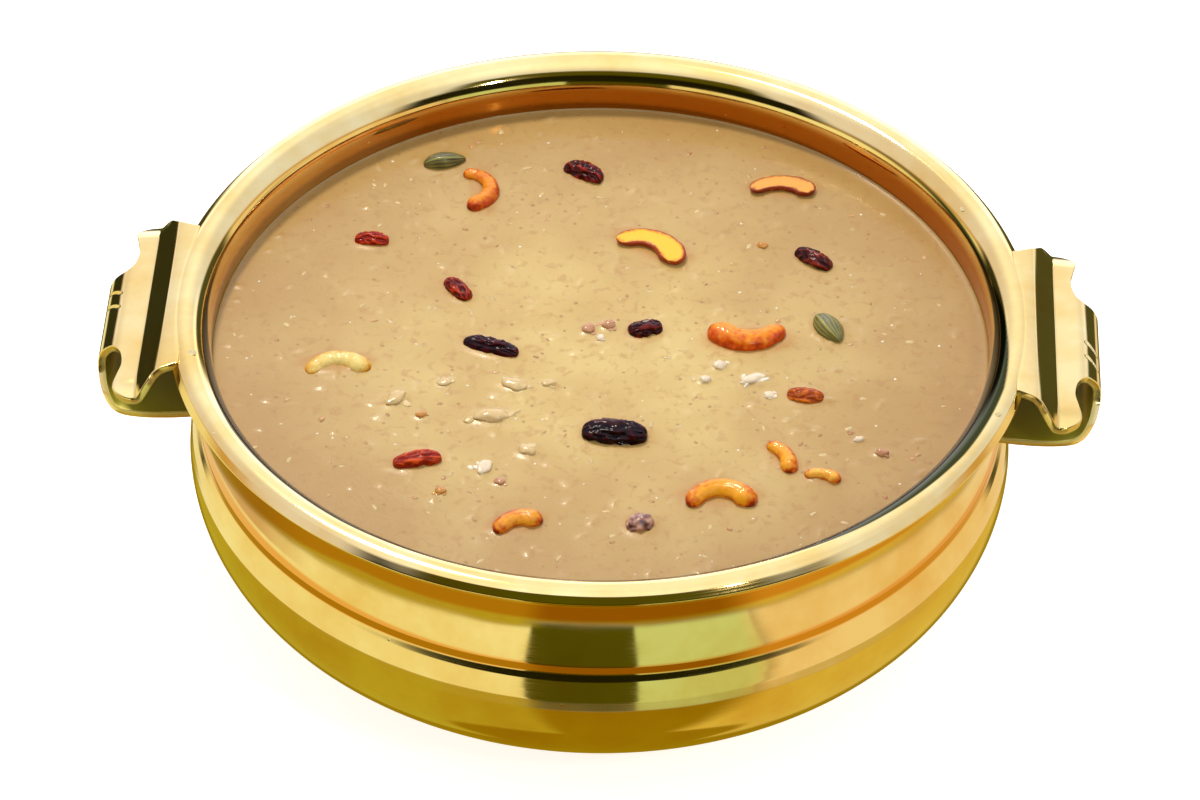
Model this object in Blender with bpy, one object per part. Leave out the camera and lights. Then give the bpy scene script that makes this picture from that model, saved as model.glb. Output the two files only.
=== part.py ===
"""Palada payasam in a brass uruli: a round-bellied bowl with two curled handles, filled with a milk
pudding that carries fried cashews, raisins and cardamom pods. Metres, +Z up, origin under the base."""

import math
import random

import bmesh
import bpy
from mathutils import Matrix, Vector, noise

MM = 0.001

# Lip of the bowl, heights counted from the flat base
RIM_RADIUS = 130.0 * MM
EDGE_HEIGHT = 93.0 * MM
CROWN_RADIUS = 124.8 * MM
CROWN_HEIGHT = EDGE_HEIGHT + 1.7 * MM
CROWN_FALL = 0.75 * MM
LIP_LINE_RADIUS = 128.3 * MM
BEVEL_FOOT = 92.0 * MM
BEVEL_UNDERCUT = (0.6 * MM, 0.9 * MM)
LIP_UNDER = (125.6 * MM, 89.3 * MM)
LIP_DEPTH = 9.7 * MM
LIP_STEPS = 6
MOUTH_RADIUS = 117.0 * MM

# Neck, shoulder with its narrow upright band, belly and base
NECK_RADIUS = 119.3 * MM
NECK_HEIGHT = 81.0 * MM
NECK_TOP_RADIUS = 120.6 * MM
NECK_TOP_HEIGHT = 87.5 * MM
NECK_STEPS = 5
SHOULDER_RADIUS = 121.7 * MM
SHOULDER_HEIGHT = 60.2 * MM
BAND_HEIGHT = 2.8 * MM
SWELL_START = ((0.45, 2.6 * MM), (0.93, 7.2 * MM))  # share of the belly's swell, drop below the band
BELLY_RADIUS = 125.0 * MM
BELLY_HEIGHT = 45.5 * MM
BELLY_POWER = 2.1
BELLY_STEPS = 7
HOLLOW_STEPS = 4
BASE_RADIUS = 62.0 * MM
WALL = 2.8 * MM
BOWL_SEGMENTS = 56
MERGE_DISTANCE = 0.01 * MM
SHARP_ANGLE = math.radians(50.0)

# Handles: one wide strip each, stepped down from the lip and curled back under to the neck
PLATE_DROP = 4.2 * MM
PLATE_FALL = 1.4 * MM
STEP_TOP_DROP = 0.3 * MM
STEP_START = 131.6 * MM
STEP_END = 136.5 * MM
STEP_BENDS = (1.0 * MM, 1.2 * MM)
HANDLE_REACH = 150.5 * MM
RETURN_DROP = 22.0 * MM
RETURN_RISE = 1.0 * MM
CURL_RADIUS = 8.2 * MM
CURL_STEPS = 5
BEND_STEPS = 2
STRIP_THICKNESS = 2.4 * MM
STRIP_ROOT = 122.5 * MM
STRIP_ROOT_DROP = 0.1 * MM
RETURN_ROOT = 118.6 * MM
HORN_DROOP_FROM = 32.0 * MM
HORN_DROOP_RADIUS = 16.0 * MM
HORN_DROOP_ONSET = 5.0 * MM
PLATE_LOWEST = 9.0 * MM
HANDLE_ROWS = 24
SLIT_PLACES = (-2.5 * MM, -9.0 * MM)
SLIT_SLANT = math.radians(-38.0)
SLIT_PITCH = math.radians(40.0)
SLIT_PROUD = 0.2 * MM
SLIT_SIZE = (6.0 * MM, 0.9 * MM, 1.6 * MM)
SHOULDER_SHARE = (0.35, 0.3)  # how far round the curl the slits lie, inwards and down

# Payasam and what lies on it
LEVEL = 79.2 * MM
FIT_GAP = 0.3 * MM
POCKET_GAP = 0.4 * MM
SURFACE_RINGS = 8
RIPPLE = 0.45 * MM
RIPPLE_SIZES = (26.0 * MM, 7.0 * MM)
FINE_RIPPLE_SHARE = 0.6
CALM_EDGE = 3.5 * MM
CALM_WIDTH = 12.0 * MM
FLAKE_COUNT = 24
FLAKE_CLEARANCE = 4.0 * MM
FLAKE_SPACING = 12.0 * MM
FLAKE_EDGE = 8.0 * MM
FLAKE_SIZES = ((3.0 * MM, 5.0 * MM), (2.0 * MM, 3.2 * MM), (1.2 * MM, 1.8 * MM))


def smoothstep(value):
    t = min(max(value, 0.0), 1.0)
    return t * t * (3.0 - 2.0 * t)


def make_material(name, color, roughness, metallic):
    material = bpy.data.materials.new(name)
    material.use_nodes = True
    shader = material.node_tree.nodes["Principled BSDF"]
    shader.inputs["Base Color"].default_value = (*color, 1.0)
    shader.inputs["Roughness"].default_value = roughness
    shader.inputs["Metallic"].default_value = metallic
    return material


def finish(bm, name, material):
    """Turn a bmesh into a smooth-shaded object with its faces pointing out."""
    bmesh.ops.recalc_face_normals(bm, faces=bm.faces)
    mesh = bpy.data.meshes.new(name)
    bm.to_mesh(mesh)
    bm.free()
    mesh.shade_smooth()
    mesh.set_sharp_from_angle(angle=SHARP_ANGLE)
    mesh.materials.append(material)
    obj = bpy.data.objects.new(name, mesh)
    bpy.context.collection.objects.link(obj)
    return obj


def combine(target, pieces, operation):
    """Join or cut the target with all the pieces in one Boolean, then remove them."""
    group = bpy.data.collections.new("operands")
    bpy.context.scene.collection.children.link(group)
    for piece in pieces:
        bpy.context.collection.objects.unlink(piece)
        group.objects.link(piece)
    modifier = target.modifiers.new(operation.lower(), "BOOLEAN")
    modifier.operation = operation
    modifier.operand_type = "COLLECTION"
    modifier.collection = group
    modifier.solver = "EXACT"
    graph = bpy.context.evaluated_depsgraph_get()
    result = bpy.data.meshes.new_from_object(target.evaluated_get(graph))
    target.modifiers.clear()
    old = target.data
    material = old.materials[0]
    target.data = result
    bpy.data.meshes.remove(old)
    result.materials.clear()
    result.materials.append(material)
    result.polygons.foreach_set("material_index", [0] * len(result.polygons))
    for piece in pieces:
        bpy.data.objects.remove(piece)
    bpy.data.collections.remove(group)


# Bowl

def belly_outline(inset, count):
    """Points of the belly from its widest ring down to the edge of the flat base."""
    radius = BELLY_RADIUS - inset
    base = BASE_RADIUS - 0.5 * inset
    points = []
    for step in range(count + 1):
        angle = 0.5 * math.pi * step / count
        across = math.cos(angle) ** (2.0 / BELLY_POWER)
        down = math.sin(angle) ** (2.0 / BELLY_POWER)
        points.append((base + (radius - base) * across, BELLY_HEIGHT + (inset - BELLY_HEIGHT) * down))
    return points


def inner_outline(inset, top):
    """The hollow's wall from the top down to the middle of its floor, moved inwards by the inset."""
    shoulder = (MOUTH_RADIUS - inset, SHOULDER_HEIGHT)
    belly = belly_outline(WALL + inset, HOLLOW_STEPS)
    return [(MOUTH_RADIUS - inset, top), shoulder] + belly + [(0.0, WALL + inset)]


def lip_outline():
    """The domed lip from the mouth's wall over the crown to the bevelled outer edge."""
    points = []
    for step in range(LIP_STEPS + 1):
        angle = 0.5 * math.pi * step / LIP_STEPS
        radius = CROWN_RADIUS - (CROWN_RADIUS - MOUTH_RADIUS) * math.cos(angle)
        points.append((radius, CROWN_HEIGHT - LIP_DEPTH * (1.0 - math.sin(angle))))
    for share in (0.5, 1.0):
        radius = CROWN_RADIUS + (LIP_LINE_RADIUS - CROWN_RADIUS) * share
        points.append((radius, CROWN_HEIGHT - CROWN_FALL * share ** 2))
    inward, down = BEVEL_UNDERCUT
    points.append((RIM_RADIUS, BEVEL_FOOT))
    points.append((RIM_RADIUS - inward, BEVEL_FOOT - down))
    return points


def neck_outline():
    """The hollow neck, the crisp shoulder with its upright band, and the start of the belly."""
    points = [LIP_UNDER]
    for step in range(NECK_STEPS + 1):
        height = NECK_TOP_HEIGHT + (SHOULDER_HEIGHT - NECK_TOP_HEIGHT) * step / NECK_STEPS
        top = height > NECK_HEIGHT
        span = (NECK_TOP_HEIGHT if top else SHOULDER_HEIGHT) - NECK_HEIGHT
        flare = (NECK_TOP_RADIUS if top else SHOULDER_RADIUS) - NECK_RADIUS
        points.append((NECK_RADIUS + flare * ((height - NECK_HEIGHT) / span) ** 2, height))
    foot = SHOULDER_HEIGHT - BAND_HEIGHT
    points.append((SHOULDER_RADIUS, foot))
    for share, drop in SWELL_START:
        points.append((SHOULDER_RADIUS + (BELLY_RADIUS - SHOULDER_RADIUS) * share, foot - drop))
    return points


def turned(name, outline, segments, material):
    """Spin an open outline, both ends on the axis, into one closed round body."""
    bm = bmesh.new()
    ring = [bm.verts.new((radius, 0.0, height)) for radius, height in outline]
    edges = [bm.edges.new(pair) for pair in zip(ring, ring[1:])]
    bmesh.ops.spin(bm, geom=ring + edges, angle=2.0 * math.pi, steps=segments,
                   axis=(0.0, 0.0, 1.0), cent=(0.0, 0.0, 0.0), use_merge=True)
    bmesh.ops.remove_doubles(bm, verts=bm.verts, dist=MERGE_DISTANCE)
    return finish(bm, name, material)


def make_vessel(material):
    inner = inner_outline(0.0, CROWN_HEIGHT - LIP_DEPTH)
    outer = lip_outline()[1:] + neck_outline() + belly_outline(0.0, BELLY_STEPS) + [(0.0, 0.0)]
    return turned("bowl", inner[::-1] + outer, BOWL_SEGMENTS, material)


# Handles

def strip_path():
    """Top of the strip from the lip, over the step and the curl, back to the neck, as (x, z)."""
    corners = [
        (STRIP_ROOT, -STRIP_ROOT_DROP, 0.0),
        (STEP_START, -STEP_TOP_DROP, STEP_BENDS[0]),
        (STEP_END, -PLATE_DROP, STEP_BENDS[1]),
        (HANDLE_REACH, -PLATE_DROP - PLATE_FALL, CURL_RADIUS),
        (HANDLE_REACH, -RETURN_DROP, CURL_RADIUS),
        (RETURN_ROOT, RETURN_RISE - RETURN_DROP, 0.0),
    ]
    path = []
    for index, (x, z, radius) in enumerate(corners):
        corner = Vector((x, z))
        if radius == 0.0:
            path.append(corner)
            continue
        before = (Vector(corners[index - 1][:2]) - corner).normalized()
        after = (Vector(corners[index + 1][:2]) - corner).normalized()
        half = 0.5 * before.angle(after)
        middle = corner + (before + after).normalized() * radius / math.sin(half)
        start = corner + before * radius / math.tan(half) - middle
        turn = start.angle_signed(corner + after * radius / math.tan(half) - middle)
        steps = CURL_STEPS if radius == CURL_RADIUS else BEND_STEPS
        path += [middle + Matrix.Rotation(-turn * step / steps, 2) @ start for step in range(steps + 1)]
    return [Vector((point.x, EDGE_HEIGHT + point.y)) for point in path]


def along(path, distance):
    """Point and outward normal at a distance along the path."""
    for start, end in zip(path, path[1:]):
        length = (end - start).length
        if distance <= length or end is path[-1]:
            direction = (end - start) / length
            return start + direction * distance, Vector((-direction.y, direction.x))
        distance -= length
    return path[-1], Vector((0.0, 1.0))


# Each row of the strip, in mm: distance along its middle, distance at its edge, half width.
# The edge swings out into a horn beside the step, bites in deeply, and widens again under the curl.
STRIP_ROWS = [
    (0.0, 0.0, 30.5), (4.5, 4.5, 32.5), (9.0, 9.0, 36.0), (12.0, 12.2, 39.0), (15.0, 16.0, 40.4),
    (17.0, 19.8, 39.6), (18.4, 23.0, 36.6), (19.2, 22.3, 31.5), (20.4, 21.3, 26.5), (22.2, 22.2, 21.0),
    (24.8, 24.8, 17.8), (28.5, 28.5, 17.0), (33.0, 33.0, 16.8), (37.0, 36.6, 18.5), (41.0, 40.2, 23.5),
    (46.0, 44.8, 28.5), (52.0, 51.0, 31.0), (60.0, 60.0, 31.5), (72.0, 72.0, 30.0),
]
STRIP_COLUMNS = (-1.0, -0.86, -0.65, -0.35, 0.0, 0.35, 0.65, 0.86, 1.0)
SWING_POWER = 8


def strip_row(share):
    """Row values at a share of the strip's length, on a smooth curve through the listed rows."""
    place = share * (len(STRIP_ROWS) - 1)
    index = min(int(place), len(STRIP_ROWS) - 2)
    t = place - index
    rows = [STRIP_ROWS[min(max(index + k, 0), len(STRIP_ROWS) - 1)] for k in (-1, 0, 1, 2)]
    values = []
    for p0, p1, p2, p3 in zip(*rows):
        bend = (2.0 * p0 - 5.0 * p1 + 4.0 * p2 - p3) * t * t + (3.0 * (p1 - p2) + p3 - p0) * t ** 3
        values.append(0.5 * (2.0 * p1 + (p2 - p0) * t + bend) * MM)
    return values


def strip_point(path, row, across, depth):
    """A point of the strip: across runs -1 to 1 over the width, depth goes into its thickness."""
    middle, edge, half = row
    swing = (edge - middle) * abs(across) ** SWING_POWER
    point, normal = along(path, middle + swing)
    y = half * across
    on_plate = smoothstep((point.x - STEP_START) / HORN_DROOP_ONSET)
    on_plate *= smoothstep((point.y - EDGE_HEIGHT + PLATE_LOWEST) / MM)
    droop = max(abs(y) - HORN_DROOP_FROM, 0.0) ** 2 / (2.0 * HORN_DROOP_RADIUS) * on_plate
    spot = point - normal * depth
    below = spot.y < EDGE_HEIGHT - 0.5 * (PLATE_DROP + RETURN_DROP)
    root, start = (RETURN_ROOT, HANDLE_REACH - CURL_RADIUS) if below else (STRIP_ROOT, STEP_START)
    hug = (root - math.sqrt(root ** 2 - y ** 2)) * smoothstep((start - point.x) / (start - root))
    return Vector((spot.x - hug, y, spot.y - droop))


def make_handle(name, side, material):
    """One handle as a closed strip, its two ends buried in the lip and in the neck wall."""
    path = strip_path()
    bm = bmesh.new()
    layers = []
    for depth in (0.0, STRIP_THICKNESS):
        grid = []
        for i in range(HANDLE_ROWS + 1):
            row = strip_row(i / HANDLE_ROWS)
            grid.append([bm.verts.new(strip_point(path, row, across, depth)) for across in STRIP_COLUMNS])
        layers.append(grid)
    top, bottom = layers
    for grid in layers:
        for upper, lower in zip(grid, grid[1:]):
            for j in range(len(STRIP_COLUMNS) - 1):
                bm.faces.new((upper[j], upper[j + 1], lower[j + 1], lower[j]))
    for i in range(HANDLE_ROWS):
        for j in (0, -1):
            bm.faces.new((top[i][j], top[i + 1][j], bottom[i + 1][j], bottom[i][j]))
    for i in (0, -1):
        for j in range(len(STRIP_COLUMNS) - 1):
            bm.faces.new((top[i][j], top[i][j + 1], bottom[i][j + 1], bottom[i][j]))
    if side < 0:
        bmesh.ops.rotate(bm, verts=bm.verts, cent=(0, 0, 0), matrix=Matrix.Rotation(math.pi, 3, "Z"))
    return finish(bm, name, material)


def make_slit(name, side, y, material):
    """A short engraved line that runs slantwise over the handle's outer shoulder."""
    bm = bmesh.new()
    bmesh.ops.create_cube(bm, size=1.0)
    bmesh.ops.scale(bm, verts=bm.verts, vec=SLIT_SIZE)
    slit = finish(bm, name, material)
    inward, down = SHOULDER_SHARE
    shoulder = HANDLE_REACH - inward * CURL_RADIUS
    top = EDGE_HEIGHT - PLATE_DROP - PLATE_FALL - down * CURL_RADIUS + SLIT_PROUD
    slit.matrix_world = (Matrix.Translation((side * shoulder, y, top))
                         @ Matrix.Rotation(side * SLIT_SLANT, 4, "Z")
                         @ Matrix.Rotation(side * SLIT_PITCH, 4, "Y"))
    return slit


def make_bowl(material):
    """Vessel and handles are one casting."""
    bowl = make_vessel(material)
    handles = [make_handle("handle_a", 1.0, material), make_handle("handle_b", -1.0, material)]
    combine(bowl, handles, "UNION")
    slits = [make_slit(f"slit_{side:+.0f}_{index}", side, y, material)
             for side in (1.0, -1.0) for index, y in enumerate(SLIT_PLACES)]
    combine(bowl, slits, "DIFFERENCE")
    return bowl


# Garnish. Each shape is built about its own middle, lying along +X, and can be grown on all sides
# to cut its pocket in the payasam.

def tube_body(rings):
    """Close a row of rings, each a list of points, with a point at either end."""
    bm = bmesh.new()
    first = bm.verts.new(rings[0][0])
    last = bm.verts.new(rings[-1][0])
    loops = [[bm.verts.new(point) for point in ring] for ring in rings[1:-1]]
    for one, two in zip(loops, loops[1:]):
        count = len(one)
        for k in range(count):
            bm.faces.new((one[k], one[(k + 1) % count], two[(k + 1) % count], two[k]))
    for pole, loop in ((first, loops[0]), (last, loops[-1])):
        count = len(loop)
        for k in range(count):
            bm.faces.new((pole, loop[k], loop[(k + 1) % count]))
    return bm


CASHEW_STATIONS = 9
CASHEW_SIDES = 8
CASHEW_TIP = 0.4            # how far each blunt end reaches past the spine, in widths
HALF_NUT_RISE = 0.34        # height of a half nut's face over its middle


def cashew_fatness(share):
    """Thickness along the spine: blunt at both ends, fatter at the head."""
    return math.sin(math.pi * (0.035 + 0.93 * share)) ** 0.42 * (0.86 + 0.22 * share)


def cashew_body(spec, grow):
    """A kidney-shaped nut: a spine on an arc, fat in its middle and at its blunt head.
    A half nut has its inner face turned up."""
    length, width, height = spec["size"]
    sweep = math.radians(spec["sweep"])
    bend = 0.5 * (length - 2.0 * CASHEW_TIP * width) / math.sin(0.5 * sweep)
    chord = bend * math.cos(0.3 * sweep)
    rings = []
    for i in range(CASHEW_STATIONS + 1):
        share = i / CASHEW_STATIONS
        angle = sweep * (share - 0.5)
        centre = Vector((bend * math.sin(angle), bend * math.cos(angle) - chord, 0.0))
        forward = Vector((math.cos(angle), -math.sin(angle), 0.0))
        outward = Vector((math.sin(angle), math.cos(angle), 0.0))
        if i in (0, CASHEW_STATIONS):
            tip = centre + forward * (CASHEW_TIP * width + grow) * (1.0 if i else -1.0)
            rings.append([tip] * CASHEW_SIDES)
            continue
        fat = cashew_fatness(share)
        ring = []
        for k in range(CASHEW_SIDES):
            turn = 2.0 * math.pi * k / CASHEW_SIDES
            up = math.sin(turn)
            if spec.get("half") and up > 0.0:
                up *= HALF_NUT_RISE
            spot = outward * math.cos(turn) * (0.5 * width * fat + grow)
            spot += Vector((0.0, 0.0, up * (0.5 * height * fat + grow)))
            ring.append(centre + spot)
        rings.append(ring)
    return tube_body(rings)


def oval_rings(size, grow, stations, sides, fatness, relief, sag=0.0):
    """Rings of a long oval body along X, with a relief round each ring and a sideways sag at its ends."""
    length, width, height = size
    rings = []
    for i in range(stations + 1):
        share = i / stations
        end = i in (0, stations)
        x, fat = fatness(share, length)
        if end:
            x += grow * (1.0 if i else -1.0)
        swell = 0.0 if end else grow
        ring = []
        for k in range(sides):
            turn = 2.0 * math.pi * k / sides
            lobe = relief(share, turn)
            y = math.cos(turn) * (0.5 * width * lobe * fat + swell)
            z = math.sin(turn) * (0.5 * height * lobe * fat + swell)
            ring.append(Vector((x, y - sag * (2.0 * share - 1.0) ** 2, z)))
        rings.append(ring)
    return rings


def raisin_body(spec, grow):
    """A shrunken oval berry with lengthwise wrinkles, a little bent."""
    def fatness(share, length):
        angle = math.pi * share
        return -0.5 * length * math.cos(angle), abs(math.sin(angle)) ** 0.8 if 0.0 < share < 1.0 else 0.0

    def wrinkles(share, turn):
        return 1.0 + 0.09 * math.cos(5.0 * turn + 2.0 * share + spec["seed"])

    return tube_body(oval_rings(spec["size"], grow, 7, 10, fatness, wrinkles, spec["bend"] * MM))


def cardamom_body(spec, grow):
    """A pointed three-sided pod with a rib along each of its seams."""
    def fatness(share, length):
        fat = math.sin(math.pi * share ** 0.85) ** 0.75 if 0.0 < share < 1.0 else 0.0
        return (share - 0.5) * length, fat

    def seams(share, turn):
        return 1.0 + 0.07 * math.cos(3.0 * turn) + 0.05 * math.cos(6.0 * turn)

    return tube_body(oval_rings(spec["size"], grow, 8, 12, fatness, seams))


LUMP_RELIEF = 0.22
LUMP_DETAIL = 1.7


def lump_body(spec, grow):
    """A broken piece of nut, blunt and uneven."""
    length, width, height = spec["size"]
    bm = bmesh.new()
    bmesh.ops.create_icosphere(bm, subdivisions=2, radius=1.0)
    for vert in bm.verts:
        direction = vert.co.normalized()
        swell = 1.0 + LUMP_RELIEF * noise.noise(direction * LUMP_DETAIL + Vector((spec["seed"], 0.0, 0.0)))
        half = Vector((length, width, height)) * 0.5 * swell
        vert.co = direction * (half + Vector((grow, grow, grow)))
    return bm


BODIES = {"cashew": cashew_body, "raisin": raisin_body, "cardamom": cardamom_body, "nut": lump_body}


def garnish(name, kind, place, heading, size, rise, **details):
    """One piece: place, size and rise of its middle over the level in mm, heading in degrees.
    Details: a cashew's sweep in degrees and whether it is a half nut, a raisin's bend in mm, a seed."""
    spec = {"name": name, "kind": kind, "heading": math.radians(heading), "rise": rise * MM}
    spec["place"] = tuple(value * MM for value in place)
    spec["size"] = tuple(value * MM for value in size)
    spec.update(details)
    return spec


GARNISH = [
    garnish("cardamom_back", "cardamom", (-52.5, 86.5), 15, (13.5, 6.2, 5.6), 0.9),
    garnish("cardamom_side", "cardamom", (68.7, 10.2), -59, (13.5, 7.4, 6.0), 1.0),
    garnish("cashew_hook", "cashew", (-39.5, 73.5), -82, (19.5, 5.4, 5.0), 0.5, sweep=150),
    garnish("cashew_tan", "cashew", (53.5, 79.5), 0, (20.0, 6.6, 5.2), 1.6, sweep=80, half=True),
    garnish("cashew_gold", "cashew", (14.5, 48.5), -28, (22.5, 8.2, 5.6), 1.7, sweep=105, half=True),
    garnish("cashew_curved", "cashew", (44.5, 4.5), 183, (23.0, 8.2, 6.6), 0.8, sweep=100),
    garnish("cashew_pale", "cashew", (-79.0, -12.0), 8, (19.5, 6.4, 5.2), -0.4, sweep=120),
    garnish("cashew_broken", "cashew", (56.0, -49.0), -62, (14.0, 5.0, 4.6), 0.6, sweep=70),
    garnish("cashew_tip", "cashew", (67.5, -57.0), -12, (10.5, 4.0, 3.8), 0.6, sweep=60),
    garnish("cashew_front", "cashew", (37.4, -66.5), 4, (20.5, 7.0, 6.0), 0.7, sweep=125),
    garnish("cashew_red", "cashew", (-21.5, -81.5), 22, (14.5, 6.2, 5.2), 0.6, sweep=90),
    garnish("raisin_back", "raisin", (-8.2, 83.5), -30, (13.5, 7.0, 5.4), 0.7, bend=1.4, seed=0.4),
    garnish("raisin_left_back", "raisin", (-72.5, 46.9), -4, (10.6, 5.6, 4.2), 0.4, bend=0.6, seed=1.7),
    garnish("raisin_right_back", "raisin", (64.0, 43.7), -38, (13.2, 6.6, 5.2), 0.6, bend=0.5, seed=2.9),
    garnish("raisin_left", "raisin", (-44.4, 23.7), -52, (11.5, 6.0, 4.6), 0.5, bend=0.4, seed=3.3),
    garnish("raisin_middle", "raisin", (13.3, 7.2), 16, (10.6, 6.8, 5.0), 0.6, bend=-0.6, seed=4.1),
    garnish("raisin_long", "raisin", (-32.8, -2.9), -18, (17.5, 6.2, 5.0), 0.4, bend=0.6, seed=5.2),
    garnish("raisin_right", "raisin", (62.0, -21.4), -8, (11.0, 6.2, 4.6), 0.4, bend=-0.4, seed=6.6),
    garnish("raisin_large", "raisin", (5.8, -41.2), -2, (19.5, 10.0, 7.2), 0.8, bend=0.5, seed=7.8),
    garnish("raisin_front", "raisin", (-51.8, -56.2), 15, (14.5, 6.6, 5.0), 0.6, bend=0.5, seed=8.5),
    garnish("nut_lump", "nut", (14.7, -80.7), 30, (8.6, 7.4, 5.6), 0.4, seed=9.1),
]

GARNISH_COLORS = {
    "cardamom": (0.16, 0.15, 0.04),
    "cashew": (0.56, 0.20, 0.03),
    "raisin": (0.09, 0.012, 0.008),
    "nut": (0.30, 0.12, 0.06),
}

# Larger nut and rice-flake pieces sunk in the payasam, in mm: x, y, length, width, height, heading
SUNK_BITS = [
    (-31, -35, 13, 6, 4, 5), (-25, -20, 10, 5, 3, -20), (-15, -19, 5, 3, 2, 10), (-20, -50, 5, 6, 3, 60),
    (-32, -58, 8, 4, 3, 70), (-27, -64, 4, 3, 2, 0), (-44, -69, 4, 3, 2, 0), (36, -8, 5, 4, 3, 30),
    (32, -15, 4, 3, 3, 0), (46, -14, 10, 4, 3, 25), (51, -21, 4, 3, 2, 0), (-60, -28, 9, 5, 3, 60),
    (-52, -35, 4, 3, 2, 0), (-46, -20, 5, 4, 2, 0), (-4, 7, 5, 4, 3, 40), (2, 9, 5, 4, 3, 10),
    (0, 3, 3, 3, 2, 0), (85, -46, 5, 3, 3, -9), (78, -40, 4, 2, 2, 20), (48, 50, 4, 3, 2, 0),
]


def make_garnish(spec, material, grow=0.0, suffix=""):
    bm = BODIES[spec["kind"]](spec, grow)
    piece = finish(bm, spec["name"] + suffix, material)
    x, y = spec["place"]
    spot = Matrix.Translation((x, y, LEVEL + spec["rise"]))
    piece.data.transform(spot @ Matrix.Rotation(spec["heading"], 4, "Z"))
    return piece


# Payasam

def surface_height(x, y):
    """Gentle swells of the thick pudding, calm along the wall."""
    calm = smoothstep((MOUTH_RADIUS - CALM_EDGE - math.hypot(x, y)) / CALM_WIDTH)
    wide, fine = (noise.noise(Vector((x, y, 0.0)) / size) for size in RIPPLE_SIZES)
    return LEVEL + RIPPLE * calm * (wide + FINE_RIPPLE_SHARE * fine)


def make_payasam(material):
    radius = MOUTH_RADIUS - FIT_GAP
    outline = inner_outline(FIT_GAP, LEVEL)
    surface = [(radius * step / SURFACE_RINGS, LEVEL) for step in range(SURFACE_RINGS)]
    payasam = turned("payasam", surface + outline, BOWL_SEGMENTS, material)
    for vert in payasam.data.vertices:
        if vert.co.z > LEVEL - MM:
            vert.co.z = surface_height(vert.co.x, vert.co.y)
    return payasam


def make_bit(index, x, y, size, heading, material):
    """One small piece lying half sunk in the surface."""
    bm = bmesh.new()
    bmesh.ops.create_icosphere(bm, subdivisions=1, radius=0.5)
    bit = finish(bm, f"bit_{index}", material)
    turn = Matrix.Rotation(math.radians(heading), 4, "Z")
    bit.data.transform(turn @ Matrix.Diagonal((*size, 1.0)))
    bit.data.transform(Matrix.Translation((x, y, surface_height(x, y))))
    return bit


def flake_spots():
    """Even but irregular spots for small rice flakes, clear of the garnish and the larger pieces."""
    rng = random.Random(7)
    taken = [(*spec["place"], 0.5 * spec["size"][0] + FLAKE_CLEARANCE) for spec in GARNISH]
    taken += [(x * MM, y * MM, 0.5 * length * MM + FLAKE_CLEARANCE) for x, y, length, *_ in SUNK_BITS]
    spots = []
    while len(spots) < FLAKE_COUNT:
        angle = rng.uniform(0.0, 2.0 * math.pi)
        reach = (MOUTH_RADIUS - FLAKE_EDGE) * math.sqrt(rng.random())
        x = reach * math.cos(angle)
        y = reach * math.sin(angle)
        if all(math.hypot(x - tx, y - ty) > clear for tx, ty, clear in taken):
            taken.append((x, y, FLAKE_SPACING))
            size = tuple(rng.uniform(*limits) for limits in FLAKE_SIZES)
            spots.append((x, y, size, rng.uniform(0.0, 180.0)))
    return spots


def build():
    brass = make_material("brass", (0.60, 0.39, 0.09), 0.18, 1.0)
    cream = make_material("payasam", (0.70, 0.52, 0.29), 0.35, 0.0)
    tints = {kind: make_material(kind, color, 0.3, 0.0) for kind, color in GARNISH_COLORS.items()}

    make_bowl(brass)
    payasam = make_payasam(cream)
    bits = [make_bit(index, x * MM, y * MM, (length * MM, width * MM, height * MM), heading, cream)
            for index, (x, y, length, width, height, heading) in enumerate(SUNK_BITS)]
    bits += [make_bit(len(bits) + index, *spot, cream) for index, spot in enumerate(flake_spots())]
    combine(payasam, bits, "UNION")
    pockets = [make_garnish(spec, cream, POCKET_GAP, "_pocket") for spec in GARNISH]
    combine(payasam, pockets, "DIFFERENCE")
    for spec in GARNISH:
        make_garnish(spec, tints[spec["kind"]])


for existing in list(bpy.data.objects):
    bpy.data.objects.remove(existing)
build()
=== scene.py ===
import math
import random

import bpy
import numpy as np
from mathutils import Matrix, Vector, noise


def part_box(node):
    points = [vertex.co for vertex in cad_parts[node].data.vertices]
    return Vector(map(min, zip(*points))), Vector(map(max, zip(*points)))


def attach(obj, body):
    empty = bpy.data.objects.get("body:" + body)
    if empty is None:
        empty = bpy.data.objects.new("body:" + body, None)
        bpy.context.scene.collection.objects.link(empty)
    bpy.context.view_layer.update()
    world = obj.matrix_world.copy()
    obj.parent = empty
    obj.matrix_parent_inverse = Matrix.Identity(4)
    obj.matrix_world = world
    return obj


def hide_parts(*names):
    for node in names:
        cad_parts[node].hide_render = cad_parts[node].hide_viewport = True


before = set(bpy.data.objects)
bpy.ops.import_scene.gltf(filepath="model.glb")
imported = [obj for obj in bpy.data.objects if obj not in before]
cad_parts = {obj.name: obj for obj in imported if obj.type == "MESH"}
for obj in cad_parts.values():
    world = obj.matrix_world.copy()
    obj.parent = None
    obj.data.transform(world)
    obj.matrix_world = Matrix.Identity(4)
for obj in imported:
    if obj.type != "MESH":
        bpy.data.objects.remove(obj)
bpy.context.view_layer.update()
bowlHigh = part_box("bowl")[1]
mm = 0.001
print("frame loaded:", len(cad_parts), "nodes")


# Small helpers

def hexColor(code):
    # sRGB hex to linear light
    channels = [int(code[i:i + 2], 16) / 255 for i in (1, 3, 5)]
    return tuple(c / 12.92 if c <= 0.04045 else ((c + 0.055) / 1.055) ** 2.4 for c in channels) + (1.0,)


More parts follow.
